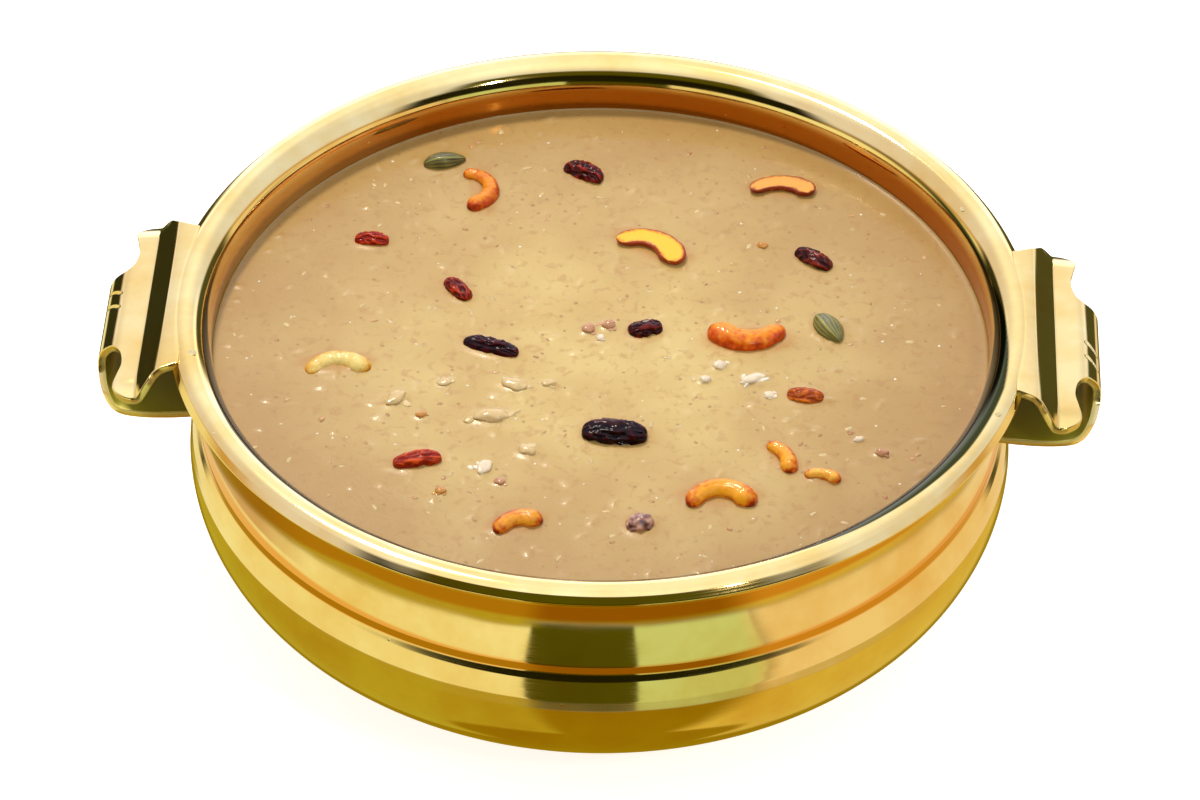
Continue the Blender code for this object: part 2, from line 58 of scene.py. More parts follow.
def setNode(tree, node, values):
    # settings, socket values and links of one node; a node given as a value is linked by its first output
    for name, value in values.items():
        if name == "stops":
            elements = node.color_ramp.elements
            while len(elements) < len(value):
                elements.new(0.5)
            for element, (position, color) in zip(elements, value):
                element.position, element.color = position, hexColor(color)
        elif isinstance(value, (bpy.types.Node, bpy.types.NodeSocket)):
            tree.links.new(getattr(value, "outputs", [value])[0], node.inputs[name])
        elif isinstance(name, str) and hasattr(node, name):
            setattr(node, name, value)
        else:
            node.inputs[name].default_value = value
    return node


def addNode(tree, kind, values=None, *inputs):
    # the inputs fill the new node's sockets in their order
    return setNode(tree, tree.nodes.new("ShaderNode" + kind), {**(values or {}), **dict(enumerate(inputs))})


def startMaterial(name):
    material = bpy.data.materials.new(name)
    material.use_nodes = True
    tree = material.node_tree
    return material, tree, tree.nodes["Principled BSDF"], addNode(tree, "TexCoord").outputs["Object"]


def smooth(value):
    t = np.clip(value, 0.0, 1.0)
    return t * t * (3.0 - 2.0 * t)


def turned(x, y, heading):
    # x and y as seen along a heading in radians
    c, s = math.cos(heading), math.sin(heading)
    return x * c + y * s, y * c - x * s


def ovalShare(x, y, length, width, heading):
    # squared distance from the middle of an oval, 1 on its edge
    along, across = turned(x, y, heading)
    return (2 * along / length) ** 2 + (2 * across / width) ** 2


def easedShare(count, end=0.0):
    # 0 to 1, closer together towards both ends
    return 0.5 - 0.5 * np.cos(math.pi * np.linspace(end, 1.0 - end, count))


def fullTurn(sides):
    return np.linspace(0.0, 2 * math.pi, sides, endpoint=False)


def ballDirections(rings, sides, end):
    # directions from the middle of a ball whose poles lie along x
    tilt, turn = (math.pi * np.linspace(end, 1.0 - end, rings))[:, None], fullTurn(sides)[None, :]
    return np.stack([np.cos(tilt) + 0 * turn, np.sin(tilt) * np.cos(turn), np.sin(tilt) * np.sin(turn)], -1)


def noiseAt(points, size, seed=0.0):
    # gradient noise, -1 to 1, of a feature size in metres
    shift = Vector((seed, 3.7 * seed, -seed))
    return np.array([noise.noise(Vector(point) / size + shift) for point in points])


def noiseLayers(points, layers, seed=0.0):
    # several noises added up: height, size in mm, shift of the seed
    return sum(high * noiseAt(points, wide * mm, seed + shift) for high, wide, shift in layers)


def lengthAlong(line):
    return np.concatenate([[0.0], np.cumsum(np.linalg.norm(np.diff(line, axis=0), axis=1))])


def readAt(places, known, line):
    # both columns of the line, read at the places
    return np.stack([np.interp(places, known, line[:, k]) for k in (0, 1)], -1)


def easeLine(line, reach):
    # each point leans on its neighbours, that many to either side
    kernel = np.hanning(2 * reach + 3)[1:-1]
    padded = np.pad(line, ((reach, reach), (0, 0)), mode="edge")
    return np.stack([np.convolve(padded[:, k], kernel / kernel.sum(), "valid") for k in (0, 1)], 1)


def gridFaces(rows, columns, closed):
    # quads between neighbouring rows of points, joined round where closed
    i = np.arange(rows - 1)[:, None]
    j = np.arange(columns if closed else columns - 1)[None, :]
    k = (j + 1) % columns
    quads = [i * columns + j, i * columns + k, (i + 1) * columns + k, (i + 1) * columns + j]
    return np.stack(quads, -1).reshape(-1, 4)


def wrapPoints(rings):
    # a closed skin over a row of rings, shut by a fan at either end
    count, sides = rings.shape[:2]
    points = np.vstack([rings.reshape(-1, 3), rings[0].mean(0), rings[-1].mean(0)])
    first, last, base = count * sides, count * sides + 1, (count - 1) * sides
    faces = [tuple(face) for face in gridFaces(count, sides, True)]
    faces += [(first, (k + 1) % sides, k) for k in range(sides)]
    faces += [(last, base + k, base + (k + 1) % sides) for k in range(sides)]
    return points, faces


def makePiece(name, points, faces, material, layers=None):
    mesh = bpy.data.meshes.new(name)
    mesh.from_pydata(np.asarray(points).tolist(), [], [list(face) for face in faces])
    for layerName, values in (layers or {}).items():
        layer = mesh.attributes.new(layerName, "FLOAT", "POINT")
        layer.data.foreach_set("value", np.asarray(values, np.float32))
    mesh.materials.append(material)
    mesh.update()
    mesh.shade_smooth()
    piece = bpy.data.objects.new(name, mesh)
    bpy.context.scene.collection.objects.link(piece)
    return piece


# Polished cast brass

brassLook = {
    "light": "#F2D48F",        # freshly rubbed high spots
    "deep": "#E8BE6C",         # a shade redder in the hollows and old smears
    "tarnish": "#C07A2A",      # brown inside the mouth and on the left of the neck: partly tarnish, partly painted reflection
    "patina": "#33340F",       # painted dark green reflection along the inside of the lip
    "redFilm": "#E6A048",      # painted orange reflection in the crooks of the neck
    "dull": "#A39C28",         # matt skin of the casting inside the handles; its olive colour is painted shade of the loop
    "roughness": (0.045, 0.13),
    "dullShine": 0.25,         # how metallic the matt skin is, and how much rougher
    "dullBlur": 0.3,
    "smear": 28 * mm,          # wiped smears and finger marks
    "scratch": 0.35 * mm,      # buffing lines, drawn coarser than the real 0.05 mm ones so that they show
    "pitSpacing": 6.6 * mm,    # casting pits, about 1 mm across
    "relief": (0.05, 0.2 * mm),
}

# where the films and painted reflections lie: bearings from the near side in degrees, against mm or shares
brassFilms = {
    # the painted dark reflection inside the lip: its outer radius, its end in mm below the crown, and how dark
    # it is
    "darkLine": (((-150, -100, -80, -60, -35, 0, 20, 40, 60, 75, 88, 100, 150),
                  (118.6, 118.8, 120.0, 122.2, 122.9, 121.9, 122.3, 124.2, 125.4, 124.8, 122.0, 119.5,
                   119.0)),
                 ((-130, -90, -60, 60, 90, 130), (4.4, 4.8, 9.0, 9.0, 5.0, 4.4)),
                 ((-150, -120, 120, 150), (0.3, 1.0, 1.0, 0.3))),
    # painted orange reflection: under the lip above the first heights, over the shoulder below the second
    "crookUnderLip": ((-60, -45, -34, 40, 90), (68.0, 71.0, 74.5, 76.0, 72.0)),    # above this height
    "crookOverShoulder": ((-65, -15, 0, 15, 90), (64.0, 61.2, 61.0, 61.0, 63.0)),  # below this height
    # brown inside the mouth and on the left of the neck, partly tarnish and partly painted reflection: how
    # much by bearing
    "brownInside": ((-150, -125, -70, -40, 180), (1.0, 0.35, 0.3, 1.0, 1.0)),
    "brownNeck": ((-110, -80, -54, -42), (0.0, 0.8, 0.75, 0.0)),
    "neckFrom": 63.5 * mm,
    "neckTo": 89.0 * mm,
    "shoulderTo": 57.0 * mm,
    "brownStart": 4.5 * mm,    # below the crown
}


def brassMaterial():
    # cast brass, turned and buffed: mirror-bright, with smears and faint lines that soften the reflections
    look = brassLook
    material, tree, shader, place = startMaterial("polishedCastBrass")
    smear = addNode(tree, "TexNoise", {"Scale": 1 / look["smear"], "Detail": 4.0, "Roughness": 0.6}, place)
    tone = addNode(tree, "ValToRGB", {"stops": [(0.38, look["light"]), (0.68, look["deep"])]}, smear)
    # the films hold painted light: an orange reflection in the crooks, part of the brown inside, a dark
    # reflection inside the lip, and olive shade inside the handles
    for film in ("redFilm", "tarnish", "patina", "dull"):
        amount = addNode(tree, "Attribute", {"attribute_name": film}).outputs["Fac"]
        tone = addNode(tree, "MixRGB", {"Fac": amount, "Color1": tone, "Color2": hexColor(look[film])})
    split = addNode(tree, "SeparateXYZ", {"Vector": place})
    around = addNode(tree, "Math", {"operation": "ARCTAN2"}, split.outputs["X"], split.outputs["Y"])
    # buffing lines run round the bowl: long along the turn, fine across it
    lineSpace = addNode(tree, "CombineXYZ", {"X": around, "Z": split.outputs["Z"]})
    stretch = addNode(tree, "VectorMath", {"operation": "MULTIPLY"}, lineSpace,
                      (1.4, 1.0, 1 / look["scratch"]))
    lines = addNode(tree, "TexNoise", {"Scale": 1.0, "Detail": 2.0}, stretch)
    wear = addNode(tree, "Math", {"operation": "MULTIPLY"}, smear, lines)
    low, high = look["roughness"]
    rough = addNode(tree, "MapRange", {"From Min": 0.15, "From Max": 0.4, "To Min": low, "To Max": high},
                    wear)
    pits = addNode(tree, "TexVoronoi", {"Scale": 1 / look["pitSpacing"]}, place)
    pitDip = addNode(tree, "MapRange", {"From Min": 0.0, "From Max": 0.07}, pits)
    relief = addNode(tree, "Math", {"operation": "MULTIPLY_ADD"}, lines, 0.10, pitDip)
    strength, depth = look["relief"]
    bump = addNode(tree, "Bump", {"Strength": strength, "Distance": depth, "Height": relief})
    # the last film read is the matt skin inside the handles, with its painted olive shade: it hides the metal
    # and scatters the light
    shine = addNode(tree, "MapRange", {"To Min": 1.0, "To Max": look["dullShine"]}, amount)
    blur = addNode(tree, "Math", {"operation": "MULTIPLY_ADD"}, amount, look["dullBlur"], rough)
    setNode(tree, shader, {"Base Color": tone, "Metallic": shine, "Roughness": blur, "Normal": bump})
    return material


# Bowl: one turned skin from the floor inside, over the lip, down the neck and belly to the base

bowlShape = {
    "rimRadius": bowlHigh.y,
    "crownHeight": bowlHigh.z,
    "crownRadius": 124.8 * mm,
    "crownFall": 0.75 * mm,      # from the crown to the line round the lip's top
    "lipLine": 128.3 * mm,       # radius of that line
    "lipDepth": 9.7 * mm,
    "bevelFoot": 92.0 * mm,
    # mm from the rim, and from the bevel's foot: the edge turns under to a flat underside
    "lipEdge": ((0.0, 0.0), (-0.5, -0.9), (-1.6, -2.5), (-4.0, -2.6)),
    "mouthRadius": 117.0 * mm,
    "neckTop": (119.9 * mm, 87.6 * mm),
    "neckFillet": ((1.6, 1.3), (0.4, 0.7)),             # mm out and up from the neck's top
    "neckWaist": (119.3 * mm, 82.0 * mm),
    "neckFlare": ((0.92, 2.2), (0.08, 8)),              # shares of the flare, and how late each comes
    "shoulder": (121.7 * mm, 60.2 * mm),
    # mm out and down from the shoulder line: an upright band, then the start of the belly
    "swell": ((0.05, -2.8), (1.25, -4.85), (2.3, -7.7), (3.0, -10.8)),
    "bellyRadius": 125.0 * mm,
    "bellyHeight": 45.5 * mm,
    "bellyPower": 2.1,
    "baseRadius": 62.0 * mm,
    "wall": 2.8 * mm,
    "corner": 0.28 * mm,                                # how far crisp turns are rounded
    "spacing": 0.55 * mm,
    "wander": ((0.05 * mm, 24, 2.0), (0.02 * mm, 9, 5.0)),  # hand-finished: under a tenth of a millimetre
    "segments": 288,
}


def bellyCurve(inset, count):
    shape = bowlShape
    base = shape["baseRadius"] - 0.5 * inset
    angle, power = np.linspace(0.0, 0.5 * math.pi, count), 2 / shape["bellyPower"]
    across, down = np.cos(angle) ** power, np.sin(angle) ** power
    return np.stack([base + (shape["bellyRadius"] - inset - base) * across,
                     shape["bellyHeight"] * (1 - down) + inset * down], 1)


def bowlProfile():
    # (radius, height) pairs, closely spaced where the skin turns sharply
    shape = bowlShape
    crown, crownRadius = shape["crownHeight"], shape["crownRadius"]
    wall, mouth, wallTop = shape["wall"], shape["mouthRadius"], crown - shape["lipDepth"]
    floorInside = [[0.0, wall], [0.5 * shape["baseRadius"], wall]]
    wallInside = [[mouth, height] for height in np.linspace(shape["shoulder"][1], wallTop, 8)[:-1]]
    turn = np.linspace(0.0, 0.5 * math.pi, 30)
    dome = np.stack([crownRadius - (crownRadius - mouth) * np.cos(turn),
                     wallTop + shape["lipDepth"] * np.sin(turn)], 1)
    share = np.linspace(0.0, 1.0, 12)[1:]
    crownRun = np.stack([crownRadius + (shape["lipLine"] - crownRadius) * share,
                         crown - shape["crownFall"] * share ** 2], 1)
    edge = np.array([[shape["rimRadius"], shape["bevelFoot"]]]) + np.array(shape["lipEdge"]) * mm
    (topRadius, topHeight), (waistRadius, waistHeight) = shape["neckTop"], shape["neckWaist"]
    fillet = np.array([shape["neckTop"]]) + np.array(shape["neckFillet"]) * mm
    heights = np.linspace(topHeight, shape["shoulder"][1], 44)
    above = np.clip((heights - waistHeight) / (topHeight - waistHeight), 0, 1) ** 2
    below = np.clip((waistHeight - heights) / (waistHeight - shape["shoulder"][1]), 0, 1)
    flare = sum(part * below ** power for part, power in shape["neckFlare"])
    neck = waistRadius + (topRadius - waistRadius) * above + (shape["shoulder"][0] - waistRadius) * flare
    # a narrow upright band, then the belly swells out from under it
    swell = np.array([shape["shoulder"]]) + np.array(shape["swell"]) * mm
    return roundCorners(np.vstack([floorInside, bellyCurve(wall, 16)[::-1], wallInside, dome, crownRun, edge,
                                   fillet, np.stack([neck, heights], 1), swell, bellyCurve(0.0, 48),
                                   [[0.0, 0.0]]]), shape["corner"], shape["spacing"])


def roundCorners(outline, reach, spacing):
    # walk the outline in fine steps, ease its crisp turns by the reach, and keep more points where it bends
    step = 0.1 * mm
    length = lengthAlong(outline)
    dense = readAt(np.arange(0.0, length[-1], step), length, outline)
    eased = easeLine(dense, int(round(reach / step)))
    tangent = np.gradient(eased, axis=0)
    heading = np.unwrap(np.arctan2(tangent[:, 1], tangent[:, 0]))
    pace = 1.0 / spacing + np.abs(np.gradient(heading)) / step / math.radians(5.0)
    pace[eased[:, 1] < 40 * mm] *= 0.45
    paced = np.concatenate([[0.0], np.cumsum(0.5 * (pace[1:] + pace[:-1]) * step)])
    picked = readAt(np.linspace(0.0, paced[-1], int(paced[-1]) + 1), paced, eased)
    picked[0, 0] = picked[-1, 0] = 0.0
    return picked


def filmLayers(outline, angles):
    # films and painted light: brown inside the mouth, partly tarnish and partly painted reflection; a painted
    # dark reflection inside the lip; a painted orange reflection in the crooks
    films = brassFilms
    bearing = np.degrees(np.arctan2(np.cos(angles), -np.sin(angles)))[None, :]
    radius, level = outline[:, :1], outline[:, 1:]
    drop = bowlShape["crownHeight"] - level
    index = np.arange(len(outline))[:, None]
    inner, upper = index < np.argmax(level), index < np.argmax(radius)
    # painted dark reflection inside the lip
    start, end, share = (np.interp(bearing, *shape) for shape in films["darkLine"])
    dark = smooth((start * mm - radius) / (0.5 * mm)) * smooth((end * mm - drop) / (0.7 * mm)) * share * upper
    inside, outside = (np.interp(bearing, *films[key]) for key in ("brownInside", "brownNeck"))
    brown = smooth((drop - films["brownStart"]) / (4 * mm)) * inner * inside
    neck = ~inner * smooth((level - films["neckFrom"]) / mm) * smooth((films["neckTo"] - level) / mm)
    brown = np.maximum(brown, neck * outside)
    # painted orange reflection under the lip and over the shoulder
    above, below = (np.interp(bearing, *films[key]) * mm for key in ("crookUnderLip", "crookOverShoulder"))
    red = smooth((level - above) / (1.5 * mm)) * (level < films["neckTo"])
    low = smooth((below - level) / mm) * smooth((level - films["shoulderTo"]) / (0.6 * mm))
    red = np.maximum(red, low) * ~inner
    # the two poles are bare
    return {name: np.append(film.reshape(-1), [0.0, 0.0])
            for name, film in (("tarnish", brown), ("patina", dark), ("redFilm", red))}


def bowlShell(material):
    outline = bowlProfile()[1:-1]
    angles = fullTurn(bowlShape["segments"])
    radius, height = outline[:, :1], outline[:, 1:]
    rings = np.stack([radius * np.cos(angles), radius * np.sin(angles), height + 0 * angles], -1)
    flat = rings.reshape(-1, 3)
    wander = noiseLayers(flat, bowlShape["wander"]) * smooth((flat[:, 2] - 2 * mm) / (6 * mm))
    outward = flat / np.maximum(np.linalg.norm(flat[:, :2], axis=1), 1e-6)[:, None] * [1.0, 1.0, 0.0]
    points, faces = wrapPoints((flat + outward * wander[:, None]).reshape(rings.shape))
    points[-2:] = (0.0, 0.0, bowlShape["wall"]), (0.0, 0.0, 0.0)
    return makePiece("bowlShell", points, faces, material, filmLayers(outline, angles))


# Handles: a wide strip stepped down from the lip and curled back under to the neck

handleShape = {
    "reach": bowlHigh.x,
    "edge": 93.0 * mm,
    "lipFall": 1.3 * mm,         # how far the strip follows the lip down before the step
    "plateDrop": 4.2 * mm,
    "plateFall": 1.4 * mm,       # the plate slopes down to the curl
    "returnDrop": 22.0 * mm,
    "stepStart": 131.6 * mm,
    "stepEnd": 136.5 * mm,
    "curl": 8.2 * mm,
    "thickness": 2.4 * mm,
    "returnRoot": 118.6 * mm,
    "droopFrom": 32 * mm,        # the horns roll down from here
    "droopRadius": 16 * mm,
    "edgeRound": 0.35 * mm,
    "wander": (0.09 * mm, 11, 4.0),
    "slits": ((-2.5 * mm, -38.0), (-9.0 * mm, -38.0)),   # place along the handle, slant in degrees
    "slitLength": 6.0 * mm,
    "slitWidth": 1.0 * mm,
    "slitDepth": 0.9 * mm,
    # mm: distance along the middle from the lip, distance along the edge, half width; the edge swings out
    # into a horn beside the step, bites in, and widens again under the curl
    "rows": ((0, 0, 30.5), (4.5, 4.5, 32.5), (9, 9, 36), (12, 12.2, 39), (15, 16, 40.4), (17, 19.8, 39.6),
             (18.4, 23, 36.6), (19.2, 22.3, 31.5), (20.4, 21.3, 26.5), (22.2, 22.2, 21), (24.8, 24.8, 17.8),
             (28.5, 28.5, 17), (33, 33, 16.8), (37, 36.6, 18.5), (41, 40.2, 23.5), (46, 44.8, 28.5),
             (52, 51, 31), (60, 60, 31.5), (72, 72, 30)),
    "rowsFrom": 2.3 * mm,        # the rows are measured from the CAD strip's root, this far inside
    "rowCount": 230,
    "topColumns": 150,
    "underColumns": 48,
}


def filletPath(corners, steps=24):
    # (x, z, radius) corners to a smooth path
    path = []
    for index, (x, z, radius) in enumerate(corners):
        corner = Vector((x, z))
        if radius == 0.0:
            path.append(corner)
            continue
        before = (Vector(corners[index - 1][:2]) - corner).normalized()
        after = (Vector(corners[index + 1][:2]) - corner).normalized()
        half = 0.5 * before.angle(after)
        middle = corner + (before + after).normalized() * radius / math.sin(half)
        start = corner + before * radius / math.tan(half) - middle
        turn = start.angle_signed(corner + after * radius / math.tan(half) - middle)
        path += [middle + Matrix.Rotation(-turn * step / steps, 2) @ start for step in range(steps + 1)]
    return np.array([tuple(point) for point in path])


def handlePath():
    # the strip's top from the lip's crown, over the step and the curl, back to the neck
    shape = handleShape
    crown, root = bowlShape["crownHeight"] - shape["edge"], bowlShape["crownRadius"]
    reach, fall, curl = shape["reach"] - 0.05 * mm, shape["lipFall"], shape["curl"]
    corners = [(root + share * (shape["stepStart"] - root), crown + 0.03 * mm - fall * share ** 2, 0.0)
               for share in np.linspace(0.0, 0.82, 8)]
    corners += [
        (shape["stepStart"] + 0.3 * mm, crown - fall - 0.6 * mm, 0.9 * mm),
        (shape["stepEnd"], -shape["plateDrop"], 1.0 * mm),
        (reach, -shape["plateDrop"] - shape["plateFall"], curl),
        (reach, -shape["returnDrop"], curl),
        (shape["returnRoot"], 1.0 * mm - shape["returnDrop"], 0.0),
    ]
    path = filletPath(corners) + [0.0, shape["edge"]]
    length = lengthAlong(path)
    along = np.arange(0.0, length[-1], 0.05 * mm)
    dense = readAt(along, length, path)
    eased = easeLine(dense, 11)
    eased[:12], eased[-12:] = dense[:12], dense[-12:]
    tangent = np.gradient(eased, axis=0)
    tangent /= np.linalg.norm(tangent, axis=1)[:, None]
    return along, eased, np.stack([-tangent[:, 1], tangent[:, 0]], 1)


def handleRows(count):
    # the listed rows joined by a smooth curve through them
    rows = np.array(handleShape["rows"]) * mm
    rows[:, :2] -= handleShape["rowsFrom"]
    last = len(rows) - 1
    places = np.linspace(0.0, last, count)
    places = places[rows[np.minimum(places.astype(int), last - 1), 0] > -2.0 * mm]
    index = np.minimum(places.astype(int), last - 1)
    t = (places - index)[:, None]
    p0, p1, p2, p3 = (rows[np.clip(index + k, 0, last)] for k in (-1, 0, 1, 2))
    square, cube = 2 * p0 - 5 * p1 + 4 * p2 - p3, 3 * (p1 - p2) + p3 - p0
    curve = 2 * p1 + (p2 - p0) * t + square * t ** 2 + cube * t ** 3
    return np.maximum(0.5 * curve, [[0.0, 0.0, 10 * mm]])


def handlePoints(path, rows, across, depth):
    # rows x columns of points; across runs -1 to 1 over the width, depth goes into the thickness
    along, line, normals = path
    shape = handleShape
    swing = (rows[:, 1] - rows[:, 0])[:, None] * np.abs(across) ** 8
    distance = np.clip(rows[:, 0][:, None] + swing, 0.0, along[-1])
    point, normal = readAt(distance, along, line), readAt(distance, along, normals)
    y = rows[:, 2][:, None] * across
    onPlate = smooth((point[..., 0] - shape["stepStart"]) / (5 * mm))
    onPlate = onPlate * smooth((point[..., 1] - shape["edge"]) / mm + 9.0)
    droop = np.maximum(np.abs(y) - shape["droopFrom"], 0.0) ** 2 / (2 * shape["droopRadius"]) * onPlate
    spot = point - normal * depth[..., None]
    below = spot[..., 1] < shape["edge"] - 0.5 * (shape["plateDrop"] + shape["returnDrop"])
    root = np.where(below, shape["returnRoot"], bowlShape["crownRadius"])
    start = np.where(below, shape["reach"] - shape["curl"], shape["stepStart"])
    hug = (root - np.sqrt(root ** 2 - y ** 2)) * smooth((start - point[..., 0]) / (start - root))
    return np.stack([spot[..., 0] - hug, y, spot[..., 1] - droop], -1)


def slitDepthAt(points):
    # engraved lines that run slantwise over the outer shoulder
    shape = handleShape
    depth = np.zeros(points.shape[:2])
    centreX = shape["reach"] - 0.35 * shape["curl"]
    rise = points[..., 2] - (shape["edge"] - shape["plateDrop"] - shape["plateFall"] - 0.3 * shape["curl"])
    for y, slant in shape["slits"]:
        run, off = turned(points[..., 0] - centreX, points[..., 1] - y, math.radians(slant))
        run = np.where(run > 0, np.hypot(run, np.minimum(rise, 0.0) * 0.8), run)
        inside = smooth(1.0 - np.abs(off) / (0.5 * shape["slitWidth"]))
        ends = smooth((0.5 * shape["slitLength"] - np.abs(run)) / (1.2 * mm))
        depth = np.maximum(depth, shape["slitDepth"] * inside * ends * (rise > -8 * mm))
    return depth


def makeHandle(name, side, material):
    shape = handleShape
    path, rows = handlePath(), handleRows(shape["rowCount"])
    half = rows[:, 2][:, None]
    thick, soft = shape["thickness"], shape["edgeRound"]
    top = np.sin(np.linspace(-0.5, 0.5, shape["topColumns"]) * math.pi * 0.86) / math.sin(0.43 * math.pi)
    # one loop round the section: top, rounded corner, side, rounded corner, underside and back up
    upper = [(1.0, soft * math.sin(a), soft * (1 - math.cos(a)))
             for a in np.linspace(0, math.pi / 2, 6)[1:]]
    lower = [(1.0, soft * math.cos(a), thick - soft * (1 - math.sin(a)))
             for a in np.linspace(0, math.pi / 2, 5)[:-1]]
    under = [(a, 0.0, thick) for a in np.linspace(1.0, -1.0, shape["underColumns"])]
    loop = [(a, 0.0, 0.0) for a in top] + upper + lower + under
    loop += [(-a, -b, c) for a, b, c in lower[::-1] + upper[::-1]]
    share, outset, into = np.array(loop).T[:, None, :]
    across = (share * (half - soft) + outset) / half
    depth = into + 0 * half
    cut = slitDepthAt(handlePoints(path, rows, across, depth))
    cut[:, len(top):] = 0.0
    points = handlePoints(path, rows, across, depth + cut)
    flat = points.reshape(-1, 3)
    wander = noiseLayers(flat, [shape["wander"]], side)
    flat[:, 2] += wander * smooth((flat[:, 0] - bowlShape["rimRadius"]) / (6 * mm))
    if side < 0:
        flat = flat * np.array([-1.0, -1.0, 1.0])
    points, faces = wrapPoints(flat.reshape(points.shape))
    # matt skin with painted olive shade: full on the underside inside the loop, 0.6 on its lower corners
    runs = ((0.0, top), (0.0, upper), (0.6, lower), (1.0, under), (0.6, lower), (0.0, upper))
    hidden = np.concatenate([[dullness] * len(run) for dullness, run in runs])
    dull = np.append(np.tile(hidden, len(rows)), [0.0, 0.0])
    return makePiece(name, points, faces, material, {"dull": dull})


# Garnish

garnishPieces = {
    # name, which starts with its kind: place in mm, heading in degrees, size in mm (a cashew's bend in
    # degrees and whether it is a half, a raisin's bend in mm), rise of the middle over the level in mm,
    # colours in the order of its kind's stops
    "cardamom_back": ((-52.5, 86.5), 15, (13.5, 6.2, 5.6), 0.9, ("#3F3A1A", "#8E8A35")),
    "cardamom_side": ((68.7, 10.2), -59, (13.5, 7.4, 6.0), 1.0, ("#4C4E1C", "#9C953E")),
    "cashew_hook": ((-39.5, 73.5), -82, (19.5, 5.4, 5.0, 150, False), 0.5, ("#F0961E", "#CC4608", "#7A1C03")),
    "cashew_tan": ((53.5, 79.5), 0, (20.0, 6.6, 5.2, 80, True), 1.6, ("#EEB050", "#C8680E", "#8A2E06")),
    "cashew_gold": ((14.5, 48.5), -28, (22.5, 8.2, 5.6, 105, True), 1.7, ("#FFD03C", "#EE9012", "#A03A04")),
    "cashew_curved": ((44.5, 4.5), 183, (23.0, 8.2, 6.6, 100, False), 0.8, ("#FBA01C", "#DE5606", "#962A03")),
    "cashew_pale": ((-79.0, -12.0), 8, (19.5, 6.4, 5.2, 120, False), -0.4, ("#F4DE8A", "#E2A41C", "#B8660A")),
    "cashew_broken": ((56.0, -49.0), -62, (14.0, 5.0, 4.6, 70, False), 0.6, ("#FBB02A", "#DE6408", "#8C2803")),
    "cashew_tip": ((67.5, -57.0), -12, (10.5, 4.0, 3.8, 60, False), 0.6, ("#FFC04A", "#DE640A", "#922C04")),
    "cashew_front": ((37.4, -66.5), 4, (20.5, 7.0, 6.0, 125, False), 0.7, ("#FBAE22", "#DC6406", "#922C04")),
    "cashew_red": ((-21.5, -81.5), 22, (14.5, 6.2, 5.2, 90, False), 0.6, ("#F8AA2C", "#CE4A06", "#7C1E03")),
    "raisin_back": ((-8.2, 83.5), -30, (13.5, 7.0, 5.4, 1.4), 0.7, ("#A4260E", "#3A0A05")),
    "raisin_left_back": ((-72.5, 46.9), -4, (10.6, 5.6, 4.2, 0.6), 0.4, ("#E44A10", "#8A1A06")),
    "raisin_right_back": ((64.0, 43.7), -38, (13.2, 6.6, 5.2, 0.5), 0.6, ("#8E2A12", "#300A06")),
    "raisin_left": ((-44.4, 23.7), -52, (11.5, 6.0, 4.6, 0.4), 0.5, ("#CC3A10", "#5A1006")),
    "raisin_middle": ((13.3, 7.2), 16, (10.6, 6.8, 5.0, -0.6), 0.6, ("#7E1E10", "#2C0706")),
    "raisin_long": ((-32.8, -2.9), -18, (17.5, 6.2, 5.0, 0.6), 0.4, ("#560C12", "#200508")),
    "raisin_right": ((62.0, -21.4), -8, (11.0, 6.2, 4.6, -0.4), 0.4, ("#EE8020", "#A0440C")),
    "raisin_large": ((5.8, -41.2), -2, (19.5, 10.0, 7.2, 0.5), 0.8, ("#440A0E", "#180405")),
    "raisin_front": ((-51.8, -56.2), 15, (14.5, 6.6, 5.0, 0.5), 0.6, ("#EC5C18", "#962408")),
    "nut_lump": ((14.7, -80.7), 30, (8.6, 7.4, 5.6), 0.4, ("#C79A82", "#96604A", "#54291C")),
}
payasamLevel = 79.2 * mm


def kindOf(name):
    return name.split("_")[0]


cashewForm = {
    "stations": 72,
    "sides": 48,
    "caps": (0.42, 0.46),        # rounded ends, tail and head, in widths
    "body": ((0.0, 0.3, 0.6, 0.85, 1.0), (0.74, 0.90, 1.0, 1.08, 1.04)),   # fatness from tail to head
    "flatFace": 0.34,            # how far a half nut's face stands up, against a whole one
    "dish": 0.16,                # depth of the dish in that face, in heights
    # seam on the inner bend and a shallow line over the top: bearing and spread in radians, depth in widths
    "grooves": ((math.pi, 0.16, 0.07), (1.75, 0.10, 0.025)),
    "rough": ((0.22 * mm, 2.4, 0), (0.08 * mm, 0.8, 9)),
    "blotches": ((0.3, 3.5, 4), (0.32, 1.1, 5)),
}


